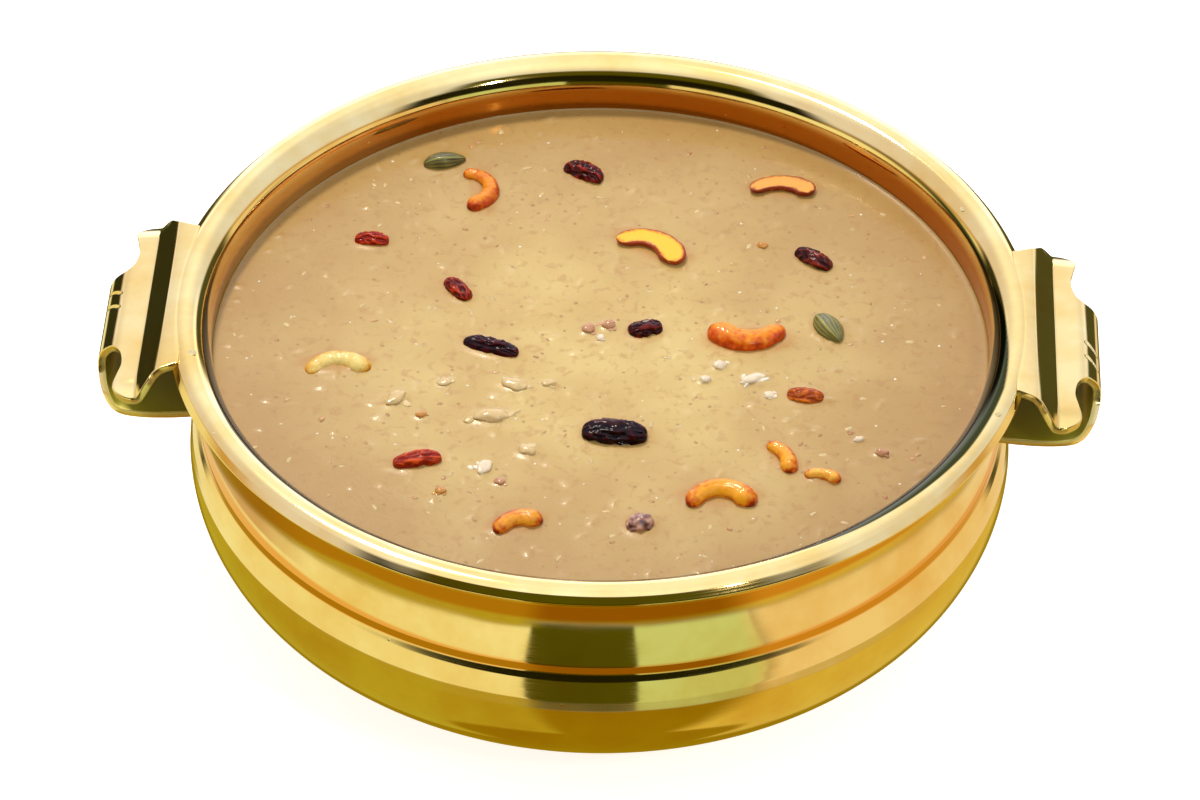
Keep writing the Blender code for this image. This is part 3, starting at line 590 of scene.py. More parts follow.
def cashewPoints(size, seed):
    # a kidney-shaped nut: a bent tube with rounded ends, blunter at its head; a half nut has its
    # dished inner face turned up
    form = cashewForm
    length, width, height = (value * mm for value in size[:3])
    sweep, split = math.radians(size[3]), size[4]
    bend = 0.5 * (length - width * 0.8) / math.sin(0.5 * sweep)
    tailCap, headCap = (cap * width for cap in form["caps"])
    total = bend * sweep + tailCap + headCap
    place = total * easedShare(form["stations"], 0.004)
    angle = ((place - tailCap) / bend - 0.5 * sweep)[:, None]
    turn = fullTurn(form["sides"])[None, :]
    tail, head = (np.sqrt(1 - np.clip(1 - gap / (1.15 * cap), 0, 1) ** 2)
                  for gap, cap in ((place, tailCap), (total - place, headCap)))
    fat = (np.interp(place / total, *form["body"]) * tail * head)[:, None]
    out, up = np.cos(turn), np.sin(turn)
    side = out * 0.5 * width * fat
    face = np.where(up > 0, up * form["flatFace"], up) if split else up
    rise = face * 0.5 * height * fat
    # browner along the outer bend, at the ends and in the seam
    ends = np.clip(1.3 - 1.6 * fat, 0, 1)
    if split:
        # raised rim round the flat face, dished in the middle
        dish = np.clip(1 - (np.abs(out) / 0.82) ** 4, 0, 1) * (up > 0.05) * np.clip(fat - 0.35, 0, 1)
        rise = rise - form["dish"] * height * dish
        toast = np.maximum(np.where(up > 0.05, 1.15 * (np.abs(out) / 0.9) ** 3, 1.1) - 0.15, ends)
    else:
        groove = sum(np.exp(-((turn - at) / spread) ** 2) * deep for at, spread, deep in form["grooves"])
        side = side - np.sign(out) * groove * width * fat
        rise = rise - up * groove * width * fat
        # a whole nut is lighter along its top: painted highlight
        toast = 0.42 + 0.25 * out - 0.2 * np.clip(up, 0, 1) ** 3 + 0.45 * ends + 4.0 * groove
    middle = np.stack([bend * np.sin(angle), bend * (np.cos(angle) - math.cos(0.3 * sweep)), 0 * angle], -1)
    outward = np.stack([np.sin(angle), np.cos(angle), 0 * angle], -1)
    points = middle + outward * side[..., None] + np.array([0.0, 0.0, 1.0]) * rise[..., None]
    flat = points.reshape(-1, 3)
    away = (points - middle).reshape(-1, 3)
    away /= np.maximum(np.linalg.norm(away, axis=1), 1e-6)[:, None]
    flat = flat + away * noiseLayers(flat, form["rough"], seed)[:, None]
    toast = 1.25 * np.broadcast_to(toast, points.shape[:2]).reshape(-1) - 0.05
    return flat.reshape(points.shape), toast + noiseLayers(flat, form["blotches"], seed)


raisinForm = {
    "stations": 56,
    "sides": 64,
    "blunt": 0.62,               # the lower, the blunter the ends
    "lobes": (5.0, 0.06),        # how many round the skin, and how high
    # folds and finer creases: stretch along the raisin, size, seed shift, height
    "folds": ((3.2, 0.5, 3, 0.17), (4.5, 0.24, 6, 0.06)),
}


def raisinPoints(size, seed):
    # a dried grape: lengthwise folds that fork and wander, sunken between them
    form = raisinForm
    length, width, height, bend = (value * mm for value in size)
    share, turn = easedShare(form["stations"]), fullTurn(form["sides"])[None, :]
    x = (-0.5 * length * np.cos(math.pi * share))[:, None]
    fat = (np.sin(math.pi * np.clip(0.003 + 0.994 * share, 0, 1)) ** form["blunt"])[:, None]
    direction = np.stack([0.7 * x / length + 0 * turn, np.cos(turn) + 0 * x, np.sin(turn) + 0 * x], -1)
    flat = direction.reshape(-1, 3)
    count, lobeHeight = form["lobes"]
    warp = noiseAt(flat * [2.4, 1.0, 1.0], 0.8, seed) * 1.9
    lobes = np.cos(count * (turn + 0 * x).reshape(-1) + 2.0 * np.repeat(share, form["sides"]) + seed + warp)
    creases = [1.0 - 3.0 * np.abs(noiseAt(flat * [stretch, 1.0, 1.0], wide, seed + shift))
               for stretch, wide, shift, _ in form["folds"]]
    swell = lobeHeight * lobes + sum(fold[3] * (crease - 0.6) for fold, crease in zip(form["folds"], creases))
    swell = 1.0 + swell.reshape(fat.size, -1) * np.clip(fat * 1.4 - 0.25, 0, 1)
    sag = -bend * (2.0 * share - 1.0)[:, None] ** 2
    y = np.cos(turn) * 0.5 * width * swell * fat + sag
    z = np.sin(turn) * 0.5 * height * swell * fat
    # redder on the raised folds, near black in the hollows between them: painted shade
    return np.stack([x + 0 * y, y, z], -1), np.clip(1.05 - 0.8 * creases[0] - 0.2 * lobes, 0, 1)


cardamomForm = {
    "stations": 56,
    "sides": 84,
    "blunt": 0.62,
    "lobes": ((3.0, 0.08), (6.0, 0.03)),     # the three seams
    "ridges": (7.5, 0.075),                  # papery ridges between them
}


def cardamomPoints(size, seed):
    # a three-sided pod with a rib on each seam and fine papery ridges between
    form = cardamomForm
    length, width, height = (value * mm for value in size)
    share, turn = easedShare(form["stations"]), fullTurn(form["sides"])[None, :]
    fat = (np.sin(math.pi * np.clip(0.004 + 0.99 * share, 0, 1) ** 0.85) ** form["blunt"])[:, None]
    x = ((share - 0.5) * length)[:, None] + 0 * turn
    count, ridgeHeight = form["ridges"]
    ridge = np.abs(np.cos(count * turn + 0.5 * np.sin(6 * share)[:, None])) ** 0.7
    lobe = sum(high * np.cos(lobes * turn) for lobes, high in form["lobes"])
    swell = (1.0 + lobe + ridgeHeight * ridge) * fat
    points = np.stack([x, np.cos(turn) * 0.5 * width * swell, np.sin(turn) * 0.5 * height * swell], -1)
    flat = points.reshape(-1, 3)
    wave = 1.0 + 0.035 * noiseAt(flat, 2.4 * mm, seed)
    flat = flat * np.stack([np.ones_like(wave), wave, wave], 1)
    tone = (0.6 * ridge + 0.4 * (np.cos(3.0 * turn) > 0.93)).reshape(-1)
    return flat.reshape(points.shape), tone + 0.25 * noiseAt(flat, 3.0 * mm, seed + 2)


def lumpPoints(size, seed):
    # a broken piece of nut, blunt and craggy
    direction = ballDirections(36, 48, 0.002)
    flat = direction.reshape(-1, 3)
    swell = 1.0 + 0.22 * noiseAt(flat, 1 / 1.7, seed) + 0.10 * noiseAt(flat, 0.3, seed + 1)
    swell = swell - 0.14 * np.abs(noiseAt(flat, 0.45, seed + 2))
    points = (flat * 0.5 * np.array(size) * mm * swell[:, None]).reshape(direction.shape)
    return points, 0.5 + 0.9 * noiseAt(flat, 0.5, seed + 4)


garnishForms = {"cashew": cashewPoints, "raisin": raisinPoints, "cardamom": cardamomPoints, "nut": lumpPoints}

# What each kind is made of: where its colours stop along the piece's own tone, blotches (size, how much they
# count, scale of the sum), grain (size, detail), how far the grain stands up, and the surface
garnishLooks = {
    # fried in ghee: gold to red-brown where it touched the pan, gold along the top partly a painted highlight,
    # with a wet fatty gloss
    "cashew": {
        "name": "gheeFriedCashew_{}", "stops": (0.35, 0.72, 1.0), "blotch": (2.2 * mm, 0.5, 0.75),
        "grain": (0.7 * mm, 3.0), "bump": (0.35, 0.15 * mm),
        "surface": {"Roughness": 0.32, "Specular IOR Level": 0.12, "Coat Weight": 0.32,
                    "Coat Roughness": 0.04}},
    # plumped in ghee: thin dark skin, redder on the folds, painted shade near black in the hollows between
    # them, wet and glossy
    "raisin": {
        "name": "plumpedRaisin_{}", "stops": (0.1, 0.75),
        "grain": (0.8 * mm, 3.0), "bump": (0.25, 0.2 * mm),
        "surface": {"Roughness": 0.11, "Specular IOR Level": 0.14}},
    # dried pod, soaked: papery green husk, yellower on its ridges
    "cardamom": {
        "name": "soakedCardamomHusk_{}", "stops": (0.2, 0.85),
        "grain": (0.5 * mm, 4.0), "bump": (0.5, 0.15 * mm),
        "surface": {"Roughness": 0.45, "Coat Weight": 0.4, "Coat Roughness": 0.12}},
    # broken cashew with its pinkish skin on
    "nut": {
        "name": "brokenNutFlesh", "stops": (0.2, 0.55, 0.95),
        "grain": (0.6 * mm, 4.0), "bump": (0.5, 0.2 * mm),
        "surface": {"Roughness": 0.3, "Coat Weight": 0.7, "Coat Roughness": 0.08}},
}


def garnishMaterial(piece, colors):
    look = garnishLooks[kindOf(piece)]
    material, tree, shader, place = startMaterial(look["name"].format(piece))
    tone = addNode(tree, "Attribute", {"attribute_name": "toast"}).outputs["Fac"]
    if "blotch" in look:
        size, share, scale = look["blotch"]
        blotch = addNode(tree, "TexNoise", {"Scale": 1 / size, "Detail": 4.0}, place)
        tone = addNode(tree, "Math", {"operation": "MULTIPLY_ADD"}, blotch, share, tone)
        tone = addNode(tree, "Math", {"operation": "MULTIPLY"}, tone, scale)
    color = addNode(tree, "ValToRGB", {"stops": list(zip(look["stops"], colors))}, tone)
    size, detail = look["grain"]
    grain = addNode(tree, "TexNoise", {"Scale": 1 / size, "Detail": detail}, place)
    strength, depth = look["bump"]
    bump = addNode(tree, "Bump", {"Strength": strength, "Distance": depth, "Height": grain})
    setNode(tree, shader, {**look["surface"], "Base Color": color, "Normal": bump})
    return material


def makeGarnish():
    for index, (name, (place, heading, size, rise, colors)) in enumerate(garnishPieces.items()):
        rings, toast = garnishForms[kindOf(name)](size, 1.3 * index + 0.4)
        points, faces = wrapPoints(rings)
        points[:, 0], points[:, 1] = turned(points[:, 0], points[:, 1], -math.radians(heading))
        points = points + np.array([place[0] * mm, place[1] * mm, payasamLevel + rise * mm])
        toast = np.concatenate([toast, toast[:1], toast[-1:]])
        piece = makePiece(name + "_fine", points, faces, garnishMaterial(name, colors), {"toast": toast})
        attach(piece, "root")
        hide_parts(name)


# Payasam: thick milk pudding with rice flakes just under its skin

payasamShape = {
    "level": payasamLevel,
    "radius": bowlShape["mouthRadius"] - 0.05 * mm,
    "cells": 276,
    "waves": ((0.30 * mm, 26, 0.0), (0.10 * mm, 7, 3.0)),
    "calm": 12 * mm,             # the waves fade out this far from the wall
    "meniscus": 0.7 * mm,
    "climb": 0.35 * mm,          # how far the pudding climbs round a floating piece
    "flakes": 330,
    "flakeLength": (1.4 * mm, 4.6 * mm),
    "flakeRise": (0.10 * mm, 0.42 * mm),
}

# Larger nut and rice-flake pieces sunk in the surface: mm x, y, length, width, height, heading, kind
sunkBits = (
    (-31, -35, 13, 6, 4, 5, "pale"), (-25, -20, 10, 5, 3, -20, "pale"), (-15, -19, 5, 3, 2, 10, "pale"),
    (-20, -50, 5, 6, 3, 60, "pale"), (-32, -58, 8, 4, 3, 70, "white"), (-27, -64, 4, 3, 2, 0, "nut"),
    (-44, -69, 4, 3, 2, 0, "amber"), (36, -8, 5, 4, 3, 30, "white"), (32, -15, 4, 3, 3, 0, "white"),
    (46, -14, 10, 4, 3, 25, "white"), (51, -21, 4, 3, 2, 0, "white"), (-60, -28, 9, 5, 3, 60, "pale"),
    (-52, -35, 4, 3, 2, 0, "amber"), (-46, -20, 5, 4, 2, 0, "pale"), (-4, 7, 5, 4, 3, 40, "nut"),
    (2, 9, 5, 4, 3, 10, "nut"), (0, 3, 3, 3, 2, 0, "white"), (85, -46, 5, 3, 3, -9, "nut"),
    (78, -40, 4, 2, 2, 20, "white"), (48, 50, 4, 3, 2, 0, "amber"),
)


def discPoints(cells):
    # a square grid bent evenly into a unit disc
    line = np.linspace(-1.0, 1.0, cells + 1)
    a, b = np.meshgrid(line, line, indexing="ij")
    wide = np.abs(a) > np.abs(b)
    reach = np.where(wide, a, b)
    ratio = np.divide(np.where(wide, b, a), reach, out=np.zeros_like(a), where=reach != 0)
    angle = np.where(wide, 0.25 * math.pi * ratio, 0.5 * math.pi - 0.25 * math.pi * ratio)
    return np.stack([reach * np.cos(angle), reach * np.sin(angle)], -1)


def randomSpot(rng, margin):
    # evenly spread over the surface, clear of the wall by the margin
    angle = rng.uniform(0.0, 2 * math.pi)
    reach = (payasamShape["radius"] - margin) * math.sqrt(rng.random())
    return reach * math.cos(angle), reach * math.sin(angle)


def flakeSpots():
    rng = random.Random(11)
    spots = []
    for _ in range(payasamShape["flakes"]):
        x, y = randomSpot(rng, 3 * mm)
        length = rng.uniform(*payasamShape["flakeLength"])
        spots.append((x, y, length, length * rng.uniform(0.35, 0.75), rng.uniform(*payasamShape["flakeRise"]),
                      rng.uniform(0.0, math.pi), rng.uniform(0.3, 1.0)))
    return spots


riceFlakes = flakeSpots()


def payasamHeight(x, y):
    # height over the base of the bowl, with how much of a flake and of fat shows there
    shape = payasamShape
    reach = np.hypot(x, y)
    calm = smooth((0.97 * shape["radius"] - reach) / shape["calm"])
    height = shape["level"] + noiseLayers(np.stack([x, y, 0 * x], 1), shape["waves"]) * calm
    flake, fat = np.zeros_like(x), np.zeros_like(x)
    for fx, fy, length, width, rise, heading, strength in riceFlakes:
        near = np.nonzero((np.abs(x - fx) < length) & (np.abs(y - fy) < length))[0]
        mound = np.exp(-ovalShare(x[near] - fx, y[near] - fy, length, width, heading) ** 1.4)
        height[near] += rise * mound
        flake[near] = np.maximum(flake[near], strength * mound)
    for bx, by, length, width, rise, heading, _ in sunkBits:
        oval = (1.12 * length * mm, 1.12 * width * mm, math.radians(heading))
        height += 0.24 * rise * mm * np.exp(-ovalShare(x - bx * mm, y - by * mm, *oval) ** 1.2)
    for name, (place, heading, size, *_) in garnishPieces.items():
        # the pudding climbs a little round each piece and holds a trace of ghee
        oval = (size[0] * mm, 1.3 * size[1] * mm, math.radians(heading))
        away = np.sqrt(ovalShare(x - place[0] * mm, y - place[1] * mm, *oval))
        height += shape["climb"] * np.exp(-(np.maximum(away - 0.9, 0.0) / 0.35) ** 2)
        ghee = 0.9 if kindOf(name) == "cashew" else 0.4
        fat = np.maximum(fat, np.exp(-(np.maximum(away - 1.0, 0.0) / 0.3) ** 2) * ghee)
    height += shape["meniscus"] * np.exp(-(shape["radius"] - reach) / (1.3 * mm))
    return height, flake, fat


payasamLook = {
    "body": ("#C9AA68", "#DAC27E"),
    "broad": 34 * mm,            # slow change of shade over the surface
    "clot": "#B98C50",           # clots of boiled milk and flakes of rice, 2 to 6 mm
    "clotSize": 3.6 * mm,
    "flake": "#E8D09A",          # pale rice flakes just under the skin, and how much they show
    "flakeShare": 0.35,
    "ghee": "#C47E26",           # a trace of ghee round the garnish
    "gheeShare": 0.5,
    "speck": "#94683A",          # browned milk and spice, drawn at 0.6 mm
    "speckSpacing": 5.5 * mm,
    "wallShade": "#A98148",          # painted shade: darker and browner towards the wall, under the rim
    "wallShadeFrom": (20 * mm, 130 * mm),
    "wallShadeCentre": (0.0, -6 * mm, payasamLevel),
    "grain": 1.3 * mm,
    "surface": {"Roughness": 0.34, "Specular IOR Level": 0.3, "Subsurface Weight": 0.25,
                "Subsurface Radius": (1.0, 0.7, 0.4), "Subsurface Scale": 2.5 * mm,
                "Coat Weight": 0.15, "Coat Roughness": 0.1},
}


def payasamMaterial():
    # milk boiled down with rice flakes and jaggery: soft beige, faintly translucent, with a wet skin
    look = payasamLook
    material, tree, shader, place = startMaterial("boiledMilkPudding")
    broad = addNode(tree, "TexNoise", {"Scale": 1 / look["broad"], "Detail": 2.0}, place)
    tone = addNode(tree, "ValToRGB", {"stops": list(zip((0.35, 0.65), look["body"]))}, broad)
    clot = addNode(tree, "TexNoise", {"Scale": 1 / look["clotSize"], "Detail": 5.0, "Roughness": 0.62,
                                      "Distortion": 0.5}, place)
    clots = addNode(tree, "MapRange", {"From Min": 0.53, "From Max": 0.66, "To Max": 0.5}, clot)
    masks = []
    for layer, share in (("flake", look["flakeShare"]), ("fat", look["gheeShare"])):
        amount = addNode(tree, "Attribute", {"attribute_name": layer}).outputs["Fac"]
        masks.append(addNode(tree, "Math", {"operation": "MULTIPLY"}, amount, share))
    speck = addNode(tree, "TexVoronoi", {"Scale": 1 / look["speckSpacing"]}, place)
    specks = addNode(tree, "MapRange", {"From Min": 0.14, "From Max": 0.06, "To Max": 0.6}, speck)
    # painted shade of the rim: darker towards the wall
    lean = addNode(tree, "VectorMath", {"operation": "SUBTRACT"}, place, look["wallShadeCentre"])
    reach = addNode(tree, "VectorMath", {"operation": "LENGTH"}, lean).outputs["Value"]
    start, end = look["wallShadeFrom"]
    wallShade = addNode(tree, "MapRange", {"interpolation_type": "SMOOTHSTEP", "From Min": start, "From Max": end,
                                       "To Max": 0.72}, reach)
    for mask, key in zip([clots, *masks, specks, wallShade], ("clot", "flake", "ghee", "speck", "wallShade")):
        tone = addNode(tree, "MixRGB", {"Fac": mask, "Color1": tone, "Color2": hexColor(look[key])})
    grain = addNode(tree, "TexNoise", {"Scale": 1 / look["grain"], "Detail": 4.0}, place)
    bump = addNode(tree, "Bump", {"Strength": 0.35, "Distance": 0.2 * mm, "Height": grain})
    setNode(tree, shader, {**look["surface"], "Base Color": tone, "Normal": bump})
    return material


def payasamPool(material):
    shape = payasamShape
    count = shape["cells"] + 1
    x, y = (discPoints(shape["cells"]) * shape["radius"]).reshape(-1, 2).T
    height, flake, fat = payasamHeight(x, y)
    blocks = [np.stack([x, y, height], 1)]
    faces = [tuple(face) for face in gridFaces(count, count, False)]
    # the hidden body below, ring by ring down the inside of the bowl
    index = np.arange(count ** 2).reshape(count, count)
    previous = np.concatenate([index[0, :-1], index[:-1, -1], index[-1, :0:-1], index[:0:-1, 0]])
    ring = blocks[0][previous]
    following = np.roll(np.arange(len(ring)), -1)
    start = count ** 2
    belly = bellyCurve(bowlShape["wall"] + 0.2 * mm, 10)
    for radius, level in [(shape["radius"], bowlShape["shoulder"][1]), *belly]:
        blocks.append(np.column_stack([ring[:, :2] / shape["radius"] * radius, np.full(len(ring), level)]))
        current = start + np.arange(len(ring))
        faces += list(zip(previous, previous[following], current[following], current))
        previous, start = current, start + len(ring)
    blocks.append(np.array([[0.0, 0.0, belly[-1][1]]]))
    faces += [(a, b, start) for a, b in zip(previous, previous[following])]
    hidden = np.zeros(start + 1 - count ** 2)
    layers = {"flake": np.append(flake, hidden), "fat": np.append(fat, hidden)}
    return makePiece("payasamPool", np.vstack(blocks), faces, material, layers)


# Scattered through the surface: rice flakes, chips of nut, browned specks and near-white beads of cream,
# partly painted glints

scatterLooks = {
    # count, length in mm, shares of it for width and height, seed, colours, roughness
    "riceFlakes": (70, (1.5, 3.4), (0.55, 0.2), 21, ("#CFB27C", "#E0CA96"), 0.25),
    "nutChips": (46, (1.2, 2.8), (0.75, 0.5), 33, ("#B07848", "#E0B684"), 0.18),
    "brownedSpecks": (120, (0.8, 2.2), (0.65, 0.2), 47, ("#A67844", "#C69E66"), 0.35),
    # near-white beads of cream: their whiteness is partly a painted glint
    "creamBeadsWithPaintedGlints": (90, (0.5, 1.2), (0.85, 0.5), 58, ("#F0E0BC", "#FFF6E2"), 0.08),
}
sunkKinds = {
    "pale": ("#CFAE72", "#E8D2A0"),
    "white": ("#DFC9A4", "#FFF4E2"),
    "nut": ("#A8643A", "#DCAE88"),
    "amber": ("#B5732A", "#D9A04C"),
}

# Dried drops of milk and small stains on the lip and the handle: radius and bearing, sizes in mm
lipDrops = ((123.8, -77, 3.6, 2.6), (127.3, -60, 1.4, 1.1), (121.5, 116, 2.2, 2.0), (126.0, 69.5, 3.0, 2.0))

# how finely a crumb is drawn: sides, rings, relief
crumbForms = {"small": (10, 7, 0.3), "large": (20, 14, 0.26), "drop": (20, 12, 0.06)}

crumbSurface = {"Specular IOR Level": 0.35, "Subsurface Weight": 0.2, "Subsurface Radius": (1.0, 0.6, 0.3),
                "Subsurface Scale": 0.8 * mm}


def crumbPoints(size, seed, sides, rings, relief):
    # a rounded uneven crumb
    direction = ballDirections(rings, sides, 0.06)
    flat = direction.reshape(-1, 3)
    swell = 1.0 + relief * noiseAt(flat, 0.7, seed) + 0.45 * relief * noiseAt(flat, 0.3, seed)
    return wrapPoints(direction * np.array(size) * 0.5 * swell.reshape(rings, sides)[..., None])


def crumbMaterial(name, low, high, roughness):
    # crumbs soaked in milk: each its own shade, with a wet skin
    material, tree, shader, place = startMaterial("milkSoaked_" + name)
    shade = addNode(tree, "Attribute", {"attribute_name": "shade"}).outputs["Fac"]
    blotch = addNode(tree, "TexNoise", {"Scale": 1 / (1.1 * mm), "Detail": 3.0}, place)
    mixed = addNode(tree, "Math", {"operation": "MULTIPLY_ADD"}, blotch, 0.7, shade)
    tone = addNode(tree, "ValToRGB", {"stops": [(0.2, low), (1.0, high)]}, mixed)
    bump = addNode(tree, "Bump", {"Strength": 0.3, "Distance": 0.15 * mm, "Height": blotch})
    setNode(tree, shader, {**crumbSurface, "Roughness": roughness, "Base Color": tone, "Normal": bump})
    return material


def joinCrumbs(name, crumbs, colors, roughness, form="small", ground=None):
    # crumbs: place, size, heading, sink, seed, shade; one joined mesh riding with the bowl
    spots = np.array([crumb[0] for crumb in crumbs])
    if ground is None:
        ground = payasamHeight(spots[:, 0], spots[:, 1])[0]
    blocks, allFaces, shades = [], [], []
    for (place, size, heading, sink, seed, shade), level in zip(crumbs, ground):
        points, faces = crumbPoints(size, seed, *crumbForms[form])
        points[:, 0], points[:, 1] = turned(points[:, 0], points[:, 1], -heading)
        start = len(shades)
        blocks.append(points + np.array([*place, level - sink]))
        allFaces += [tuple(start + index for index in face) for face in faces]
        shades += [shade] * len(points)
    material = crumbMaterial(name, *colors, roughness)
    piece = makePiece(name, np.vstack(blocks), allFaces, material, {"shade": shades})
    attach(piece, "root")


def clearOfGarnish(x, y, margin):
    return all(math.hypot(x - place[0] * mm, y - place[1] * mm) > 0.5 * size[0] * mm + margin
               for place, _, size, *_ in garnishPieces.values())


def scatterCrumbs():
    for name, (count, lengths, shares, seed, colors, roughness) in scatterLooks.items():
        rng = random.Random(seed)
        crumbs = []
        while len(crumbs) < count:
            spot = randomSpot(rng, 4 * mm)
            length = rng.uniform(*lengths) * mm
            heading, shade = rng.uniform(0, math.pi), rng.uniform(0.0, 0.6)
            width = length * shares[0] * rng.uniform(0.7, 1.2)
            size = (length, width, length * shares[1] * rng.uniform(0.8, 1.2))
            if clearOfGarnish(*spot, 1.0 * mm):
                sink = size[2] * rng.uniform(0.12, 0.34)
                crumbs.append((spot, size, heading, sink, 0.37 * len(crumbs), shade))
        joinCrumbs(name, crumbs, colors, roughness)


def sinkPieces():
    # the larger pieces lie in craggy clusters: one large bit with three small ones
    rng = random.Random(5)
    for kind, colors in sunkKinds.items():
        crumbs = []
        for x, y, length, width, height, heading, bitKind in sunkBits:
            if bitKind != kind:
                continue
            large = (0.8 * length * mm, 0.95 * width * mm, 0.7 * height * mm)
            crumbs.append(((x * mm, y * mm), large, math.radians(heading), 0.04 * height * mm, 1.7 * x, 0.3))
            for _ in range(3):
                spot = [(at + 0.5 * side * rng.uniform(-1, 1)) * mm for at, side in ((x, length), (y, width))]
                size = [rng.uniform(0.25, 0.5) * side * mm for side in (length, width, 0.8 * height)]
                turn, seed = rng.uniform(0, math.pi), rng.uniform(0, 50)
                crumbs.append((spot, size, turn, 0.2 * size[2], seed, rng.random()))
        joinCrumbs(kind + "Pieces", crumbs, colors, 0.12, "large")


def makeLipDrops():
    crumbs = []
    for radius, bearing, length, width in lipDrops:
        turn = math.radians(bearing)
        place = (radius * mm * math.sin(turn), -radius * mm * math.cos(turn))
        crumbs.append((place, (length * mm, width * mm, 0.3 * mm), 0.5 * math.pi - turn, 0.0, bearing, 0.4))
    outline = bowlProfile()
    lip = outline[outline[:, 1] > bowlShape["bevelFoot"]]
    ground = np.interp([drop[0] * mm for drop in lipDrops], lip[:, 0], lip[:, 1]) - 0.05 * mm
    joinCrumbs("driedMilkDrops", crumbs, ("#B9AC78", "#DCCF9E"), 0.3, "drop", ground)


# Stage, light and camera

cameraFit = {
    "distance": 1.625,
    "elevation": 40.46,
    "azimuth": 1.9,
    "roll": 0.62,
    "focalPixels": 5336.9,
    "imageWidth": 1200,
    "aimHeight": 57.4 * mm,
    "sensor": 36.0,
}

# Light as the brass shows it, in degrees: bearing 0 towards the camera and positive to the right,
# rise over the horizon. Each patch: name, color, strength, bearings, rises, softness across and upwards
studio = {
    "sky": ("#D2DEFF", 1.4),
    "patches": (
        ("leftSky", "#E4E6FF", 1.15, (-150, -50), (0, 60), (25, 12)),
        ("wall", "#4C4B25", 1.0, (-135, 135), (-36, 10), (12, 3)),
        ("glow", "#D9B45E", 1.0, (-135, 135), (11, 18), (12, 4)),
        ("backWindow", "#E0E8FF", 1.8, (160, 200), (14, 70), (22, 8)),
        ("backGlare", "#E6EAFF", 2.7, (150, 200), (2, 24), (10, 4)),
        ("backWall", "#55561E", 1.0, (135, 200), (-60, -3), (8, 4)),
        ("ceiling", "#DCE8FF", 1.9, (-200, 200), (66, 130), (2, 14)),
        ("dark", "#585A0A", 0.95, (-48, 48), (-36, 52), (7, 3)),
        ("darkest", "#2B2C0C", 0.6, (-60, 60), (10, 34), (7, 3)),
        ("leftWindow", "#FCFFD8", 1.06, (-150, -16), (-34, 12), (0.6, 2)),
        ("rightWindow", "#D8F0B8", 0.98, (12, 44), (-36, 12), (0.6, 2)),
        ("rightWall", "#FFF0C8", 0.98, (44, 150), (-36, 12), (5, 2)),
        ("rightShade", "#585C38", 0.9, (122, 158), (-16, 17), (4, 3)),
        ("leftShade", "#3E4226", 0.8, (-158, -122), (-16, 19), (4, 3)),
        ("table", "#B89A0E", 0.74, (-200, 200), (-100, -36), (2, 1.2)),
        ("tableRight", "#E2CC60", 1.0, (44, 150), (-74, -36), (9, 1.2)),
        ("tableLeft", "#C2B636", 0.98, (-150, -16), (-74, -33.5), (5, 1.2)),
    ),
    "diffuse": ("#FFF8E8", 0.55),       # what the room gives matt surfaces
    "backdrop": ("#FFFFFF", 1.0),
}
lamps = {
    # place and aim in metres, size, power in watts, colour
    "keyLight": ((-0.35, 0.75, 1.5), (0, 0, 0.07), (0.24, 0.24), 16.0, "#FFF1DC"),
    "glintLight": ((0.62, -0.85, 0.95), (0, 0, 0.08), (0.05, 0.16), 1.7, "#FFFFFF"),
}


def makeCamera():
    fit = cameraFit
    elevation, azimuth, roll = (math.radians(fit[key]) for key in ("elevation", "azimuth", "roll"))
    forward = -Vector((math.sin(azimuth) * math.cos(elevation), -math.cos(azimuth) * math.cos(elevation),
                       math.sin(elevation)))
    right = forward.cross(Vector((0, 0, 1))).normalized()
    up = right.cross(forward)
    across = math.cos(roll) * right + math.sin(roll) * up
    upright = -math.sin(roll) * right + math.cos(roll) * up
    data = bpy.data.cameras.new("camera")
    data.sensor_width = fit["sensor"]
    data.lens = fit["focalPixels"] * fit["sensor"] / fit["imageWidth"]
    data.clip_end = 20.0
    camera = bpy.data.objects.new("camera", data)
    place = Vector((0, 0, fit["aimHeight"])) - forward * fit["distance"]
    turn = Matrix((across, upright, -forward)).transposed().to_4x4()
    camera.matrix_world = Matrix.Translation(place) @ turn
    bpy.context.scene.collection.objects.link(camera)
    bpy.context.scene.camera = camera


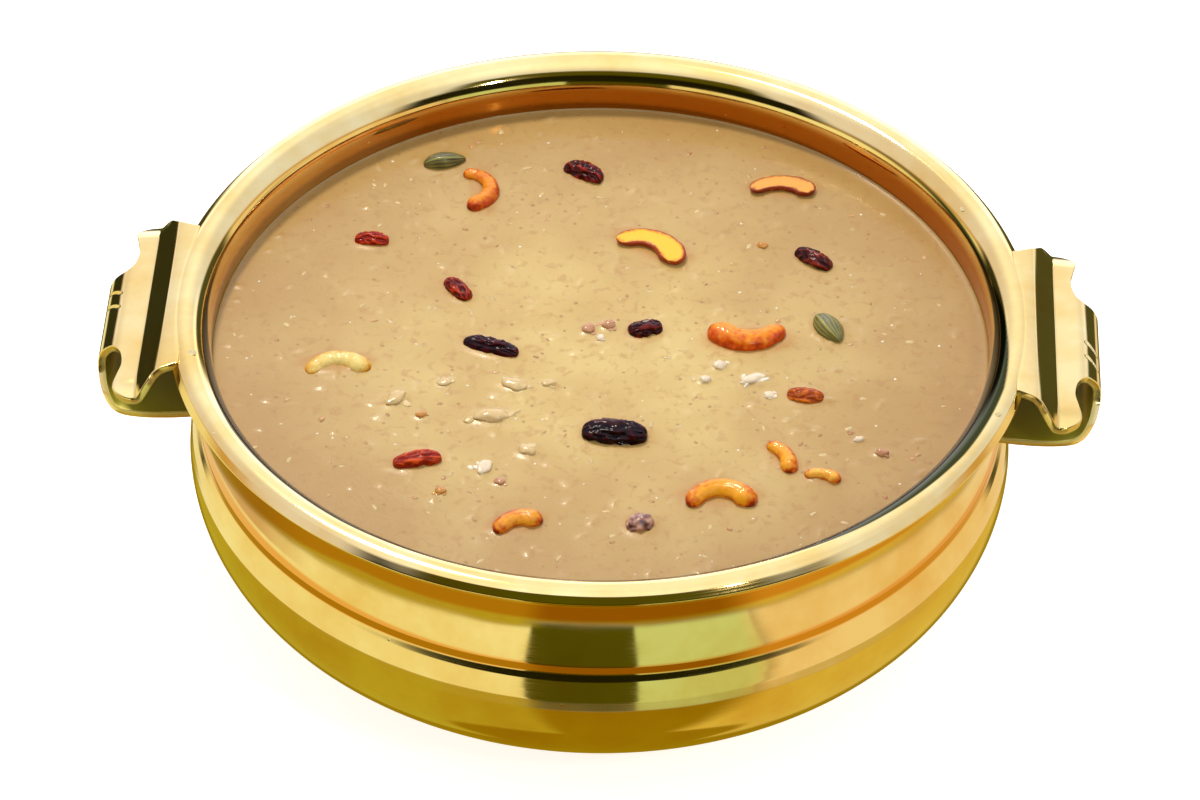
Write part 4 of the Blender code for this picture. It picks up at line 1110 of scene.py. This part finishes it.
def makeWorld():
    # light from a pale room: bright above and behind, dim towards the viewer, tall windows left and right
    world = bpy.data.worlds.new("softStudio")
    bpy.context.scene.world = world
    world.use_nodes = True
    tree = world.node_tree
    tree.nodes.clear()

    def window(value, low, high, soft):
        # 1 between low and high degrees, fading over the soft width
        edges = [addNode(tree, "MapRange", {"interpolation_type": "SMOOTHSTEP", "From Min": edge - fade,
                                            "From Max": edge + fade}, value)
                 for edge, fade in ((low, soft), (high, -soft))]
        return addNode(tree, "Math", {"operation": "MULTIPLY"}, edges[0], edges[1])

    def scaled(color, strength):
        return tuple(channel * strength for channel in hexColor(color)[:3]) + (1.0,)

    direction = addNode(tree, "TexCoord").outputs["Generated"]
    x, y, z = addNode(tree, "SeparateXYZ", {"Vector": direction}).outputs
    rise = addNode(tree, "Math", {"operation": "ARCSINE"}, z)
    rise = addNode(tree, "Math", {"operation": "DEGREES"}, rise)
    towards = addNode(tree, "Math", {"operation": "MULTIPLY"}, y, -1.0)
    bearing = addNode(tree, "Math", {"operation": "ARCTAN2"}, x, towards)
    bearing = addNode(tree, "Math", {"operation": "DEGREES"}, bearing)
    eitherSide = addNode(tree, "Math", {"operation": "ABSOLUTE"}, bearing)
    light = addNode(tree, "RGB")
    light.outputs[0].default_value = scaled(*studio["sky"])
    for _, color, strength, (low, high), rises, (softAcross, softUp) in studio["patches"]:
        # a patch that reaches past 180 degrees goes on from the other side
        place = eitherSide if low > 0 and high > 180 else bearing
        mask = addNode(tree, "Math", {"operation": "MULTIPLY"}, window(place, low, high, softAcross),
                       window(rise, *rises, softUp))
        light = addNode(tree, "MixRGB", {"Fac": mask, "Color1": light, "Color2": scaled(color, strength)})
    ray = addNode(tree, "LightPath")
    for kind, key in (("Is Diffuse Ray", "diffuse"), ("Is Camera Ray", "backdrop")):
        light = addNode(tree, "MixRGB", {"Fac": ray.outputs[kind], "Color1": light,
                                         "Color2": scaled(*studio[key])})
    background = addNode(tree, "Background", {"Strength": 1.0, "Color": light})
    addNode(tree, "OutputWorld", {"Surface": background})


floorLook = {
    "colors": ("#EFEEEC", "#F4F3F1"),
    "glow": ("#F4F8FF", 0.74),          # lifts it to the photo's white
    "roughness": 0.7,
    "mottle": 1000 / 3 * mm,
    "half": 6.0,
}


def makeFloor():
    # smooth pale laminate: matt, with a faint mottle
    look = floorLook
    material, tree, shader, place = startMaterial("paleLaminate")
    mottle = addNode(tree, "TexNoise", {"Scale": 1 / look["mottle"], "Detail": 3.0}, place)
    tone = addNode(tree, "ValToRGB", {"stops": list(zip((0.3, 0.7), look["colors"]))}, mottle)
    glow, strength = look["glow"]
    setNode(tree, shader, {"Roughness": look["roughness"], "Emission Color": hexColor(glow),
                           "Emission Strength": strength, "Base Color": tone})
    half = look["half"]
    corners = [(-half, -half, 0), (half, -half, 0), (half, half, 0), (-half, half, 0)]
    floor = makePiece("floor", corners, [(0, 1, 2, 3)], material)
    floor.location.z = -0.05 * mm
    floor.visible_glossy = False


def makeLamps():
    for name, (place, aim, size, power, color) in lamps.items():
        data = bpy.data.lights.new(name, "AREA")
        data.shape = "RECTANGLE"
        data.size, data.size_y = size
        data.energy, data.color = power, hexColor(color)[:3]
        lamp = bpy.data.objects.new(name, data)
        lamp.location = place
        lamp.rotation_euler = (Vector(aim) - Vector(place)).to_track_quat("-Z", "Y").to_euler()
        bpy.context.scene.collection.objects.link(lamp)


makeCamera()
makeWorld()
makeFloor()
makeLamps()
bpy.context.scene.view_settings.view_transform = "Standard"
print("camera, light and floor ready")

brass = brassMaterial()
brassPieces = [bowlShell(brass), makeHandle("rightHandle", 1.0, brass), makeHandle("leftHandle", -1.0, brass)]
for piece in brassPieces:
    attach(piece, "root")
    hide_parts("bowl")
print("brass bowl and handles ready")

pool = payasamPool(payasamMaterial())
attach(pool, "root")
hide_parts("payasam")
print("payasam ready")

makeGarnish()
scatterCrumbs()
sinkPieces()
makeLipDrops()
print("garnish and crumbs ready")
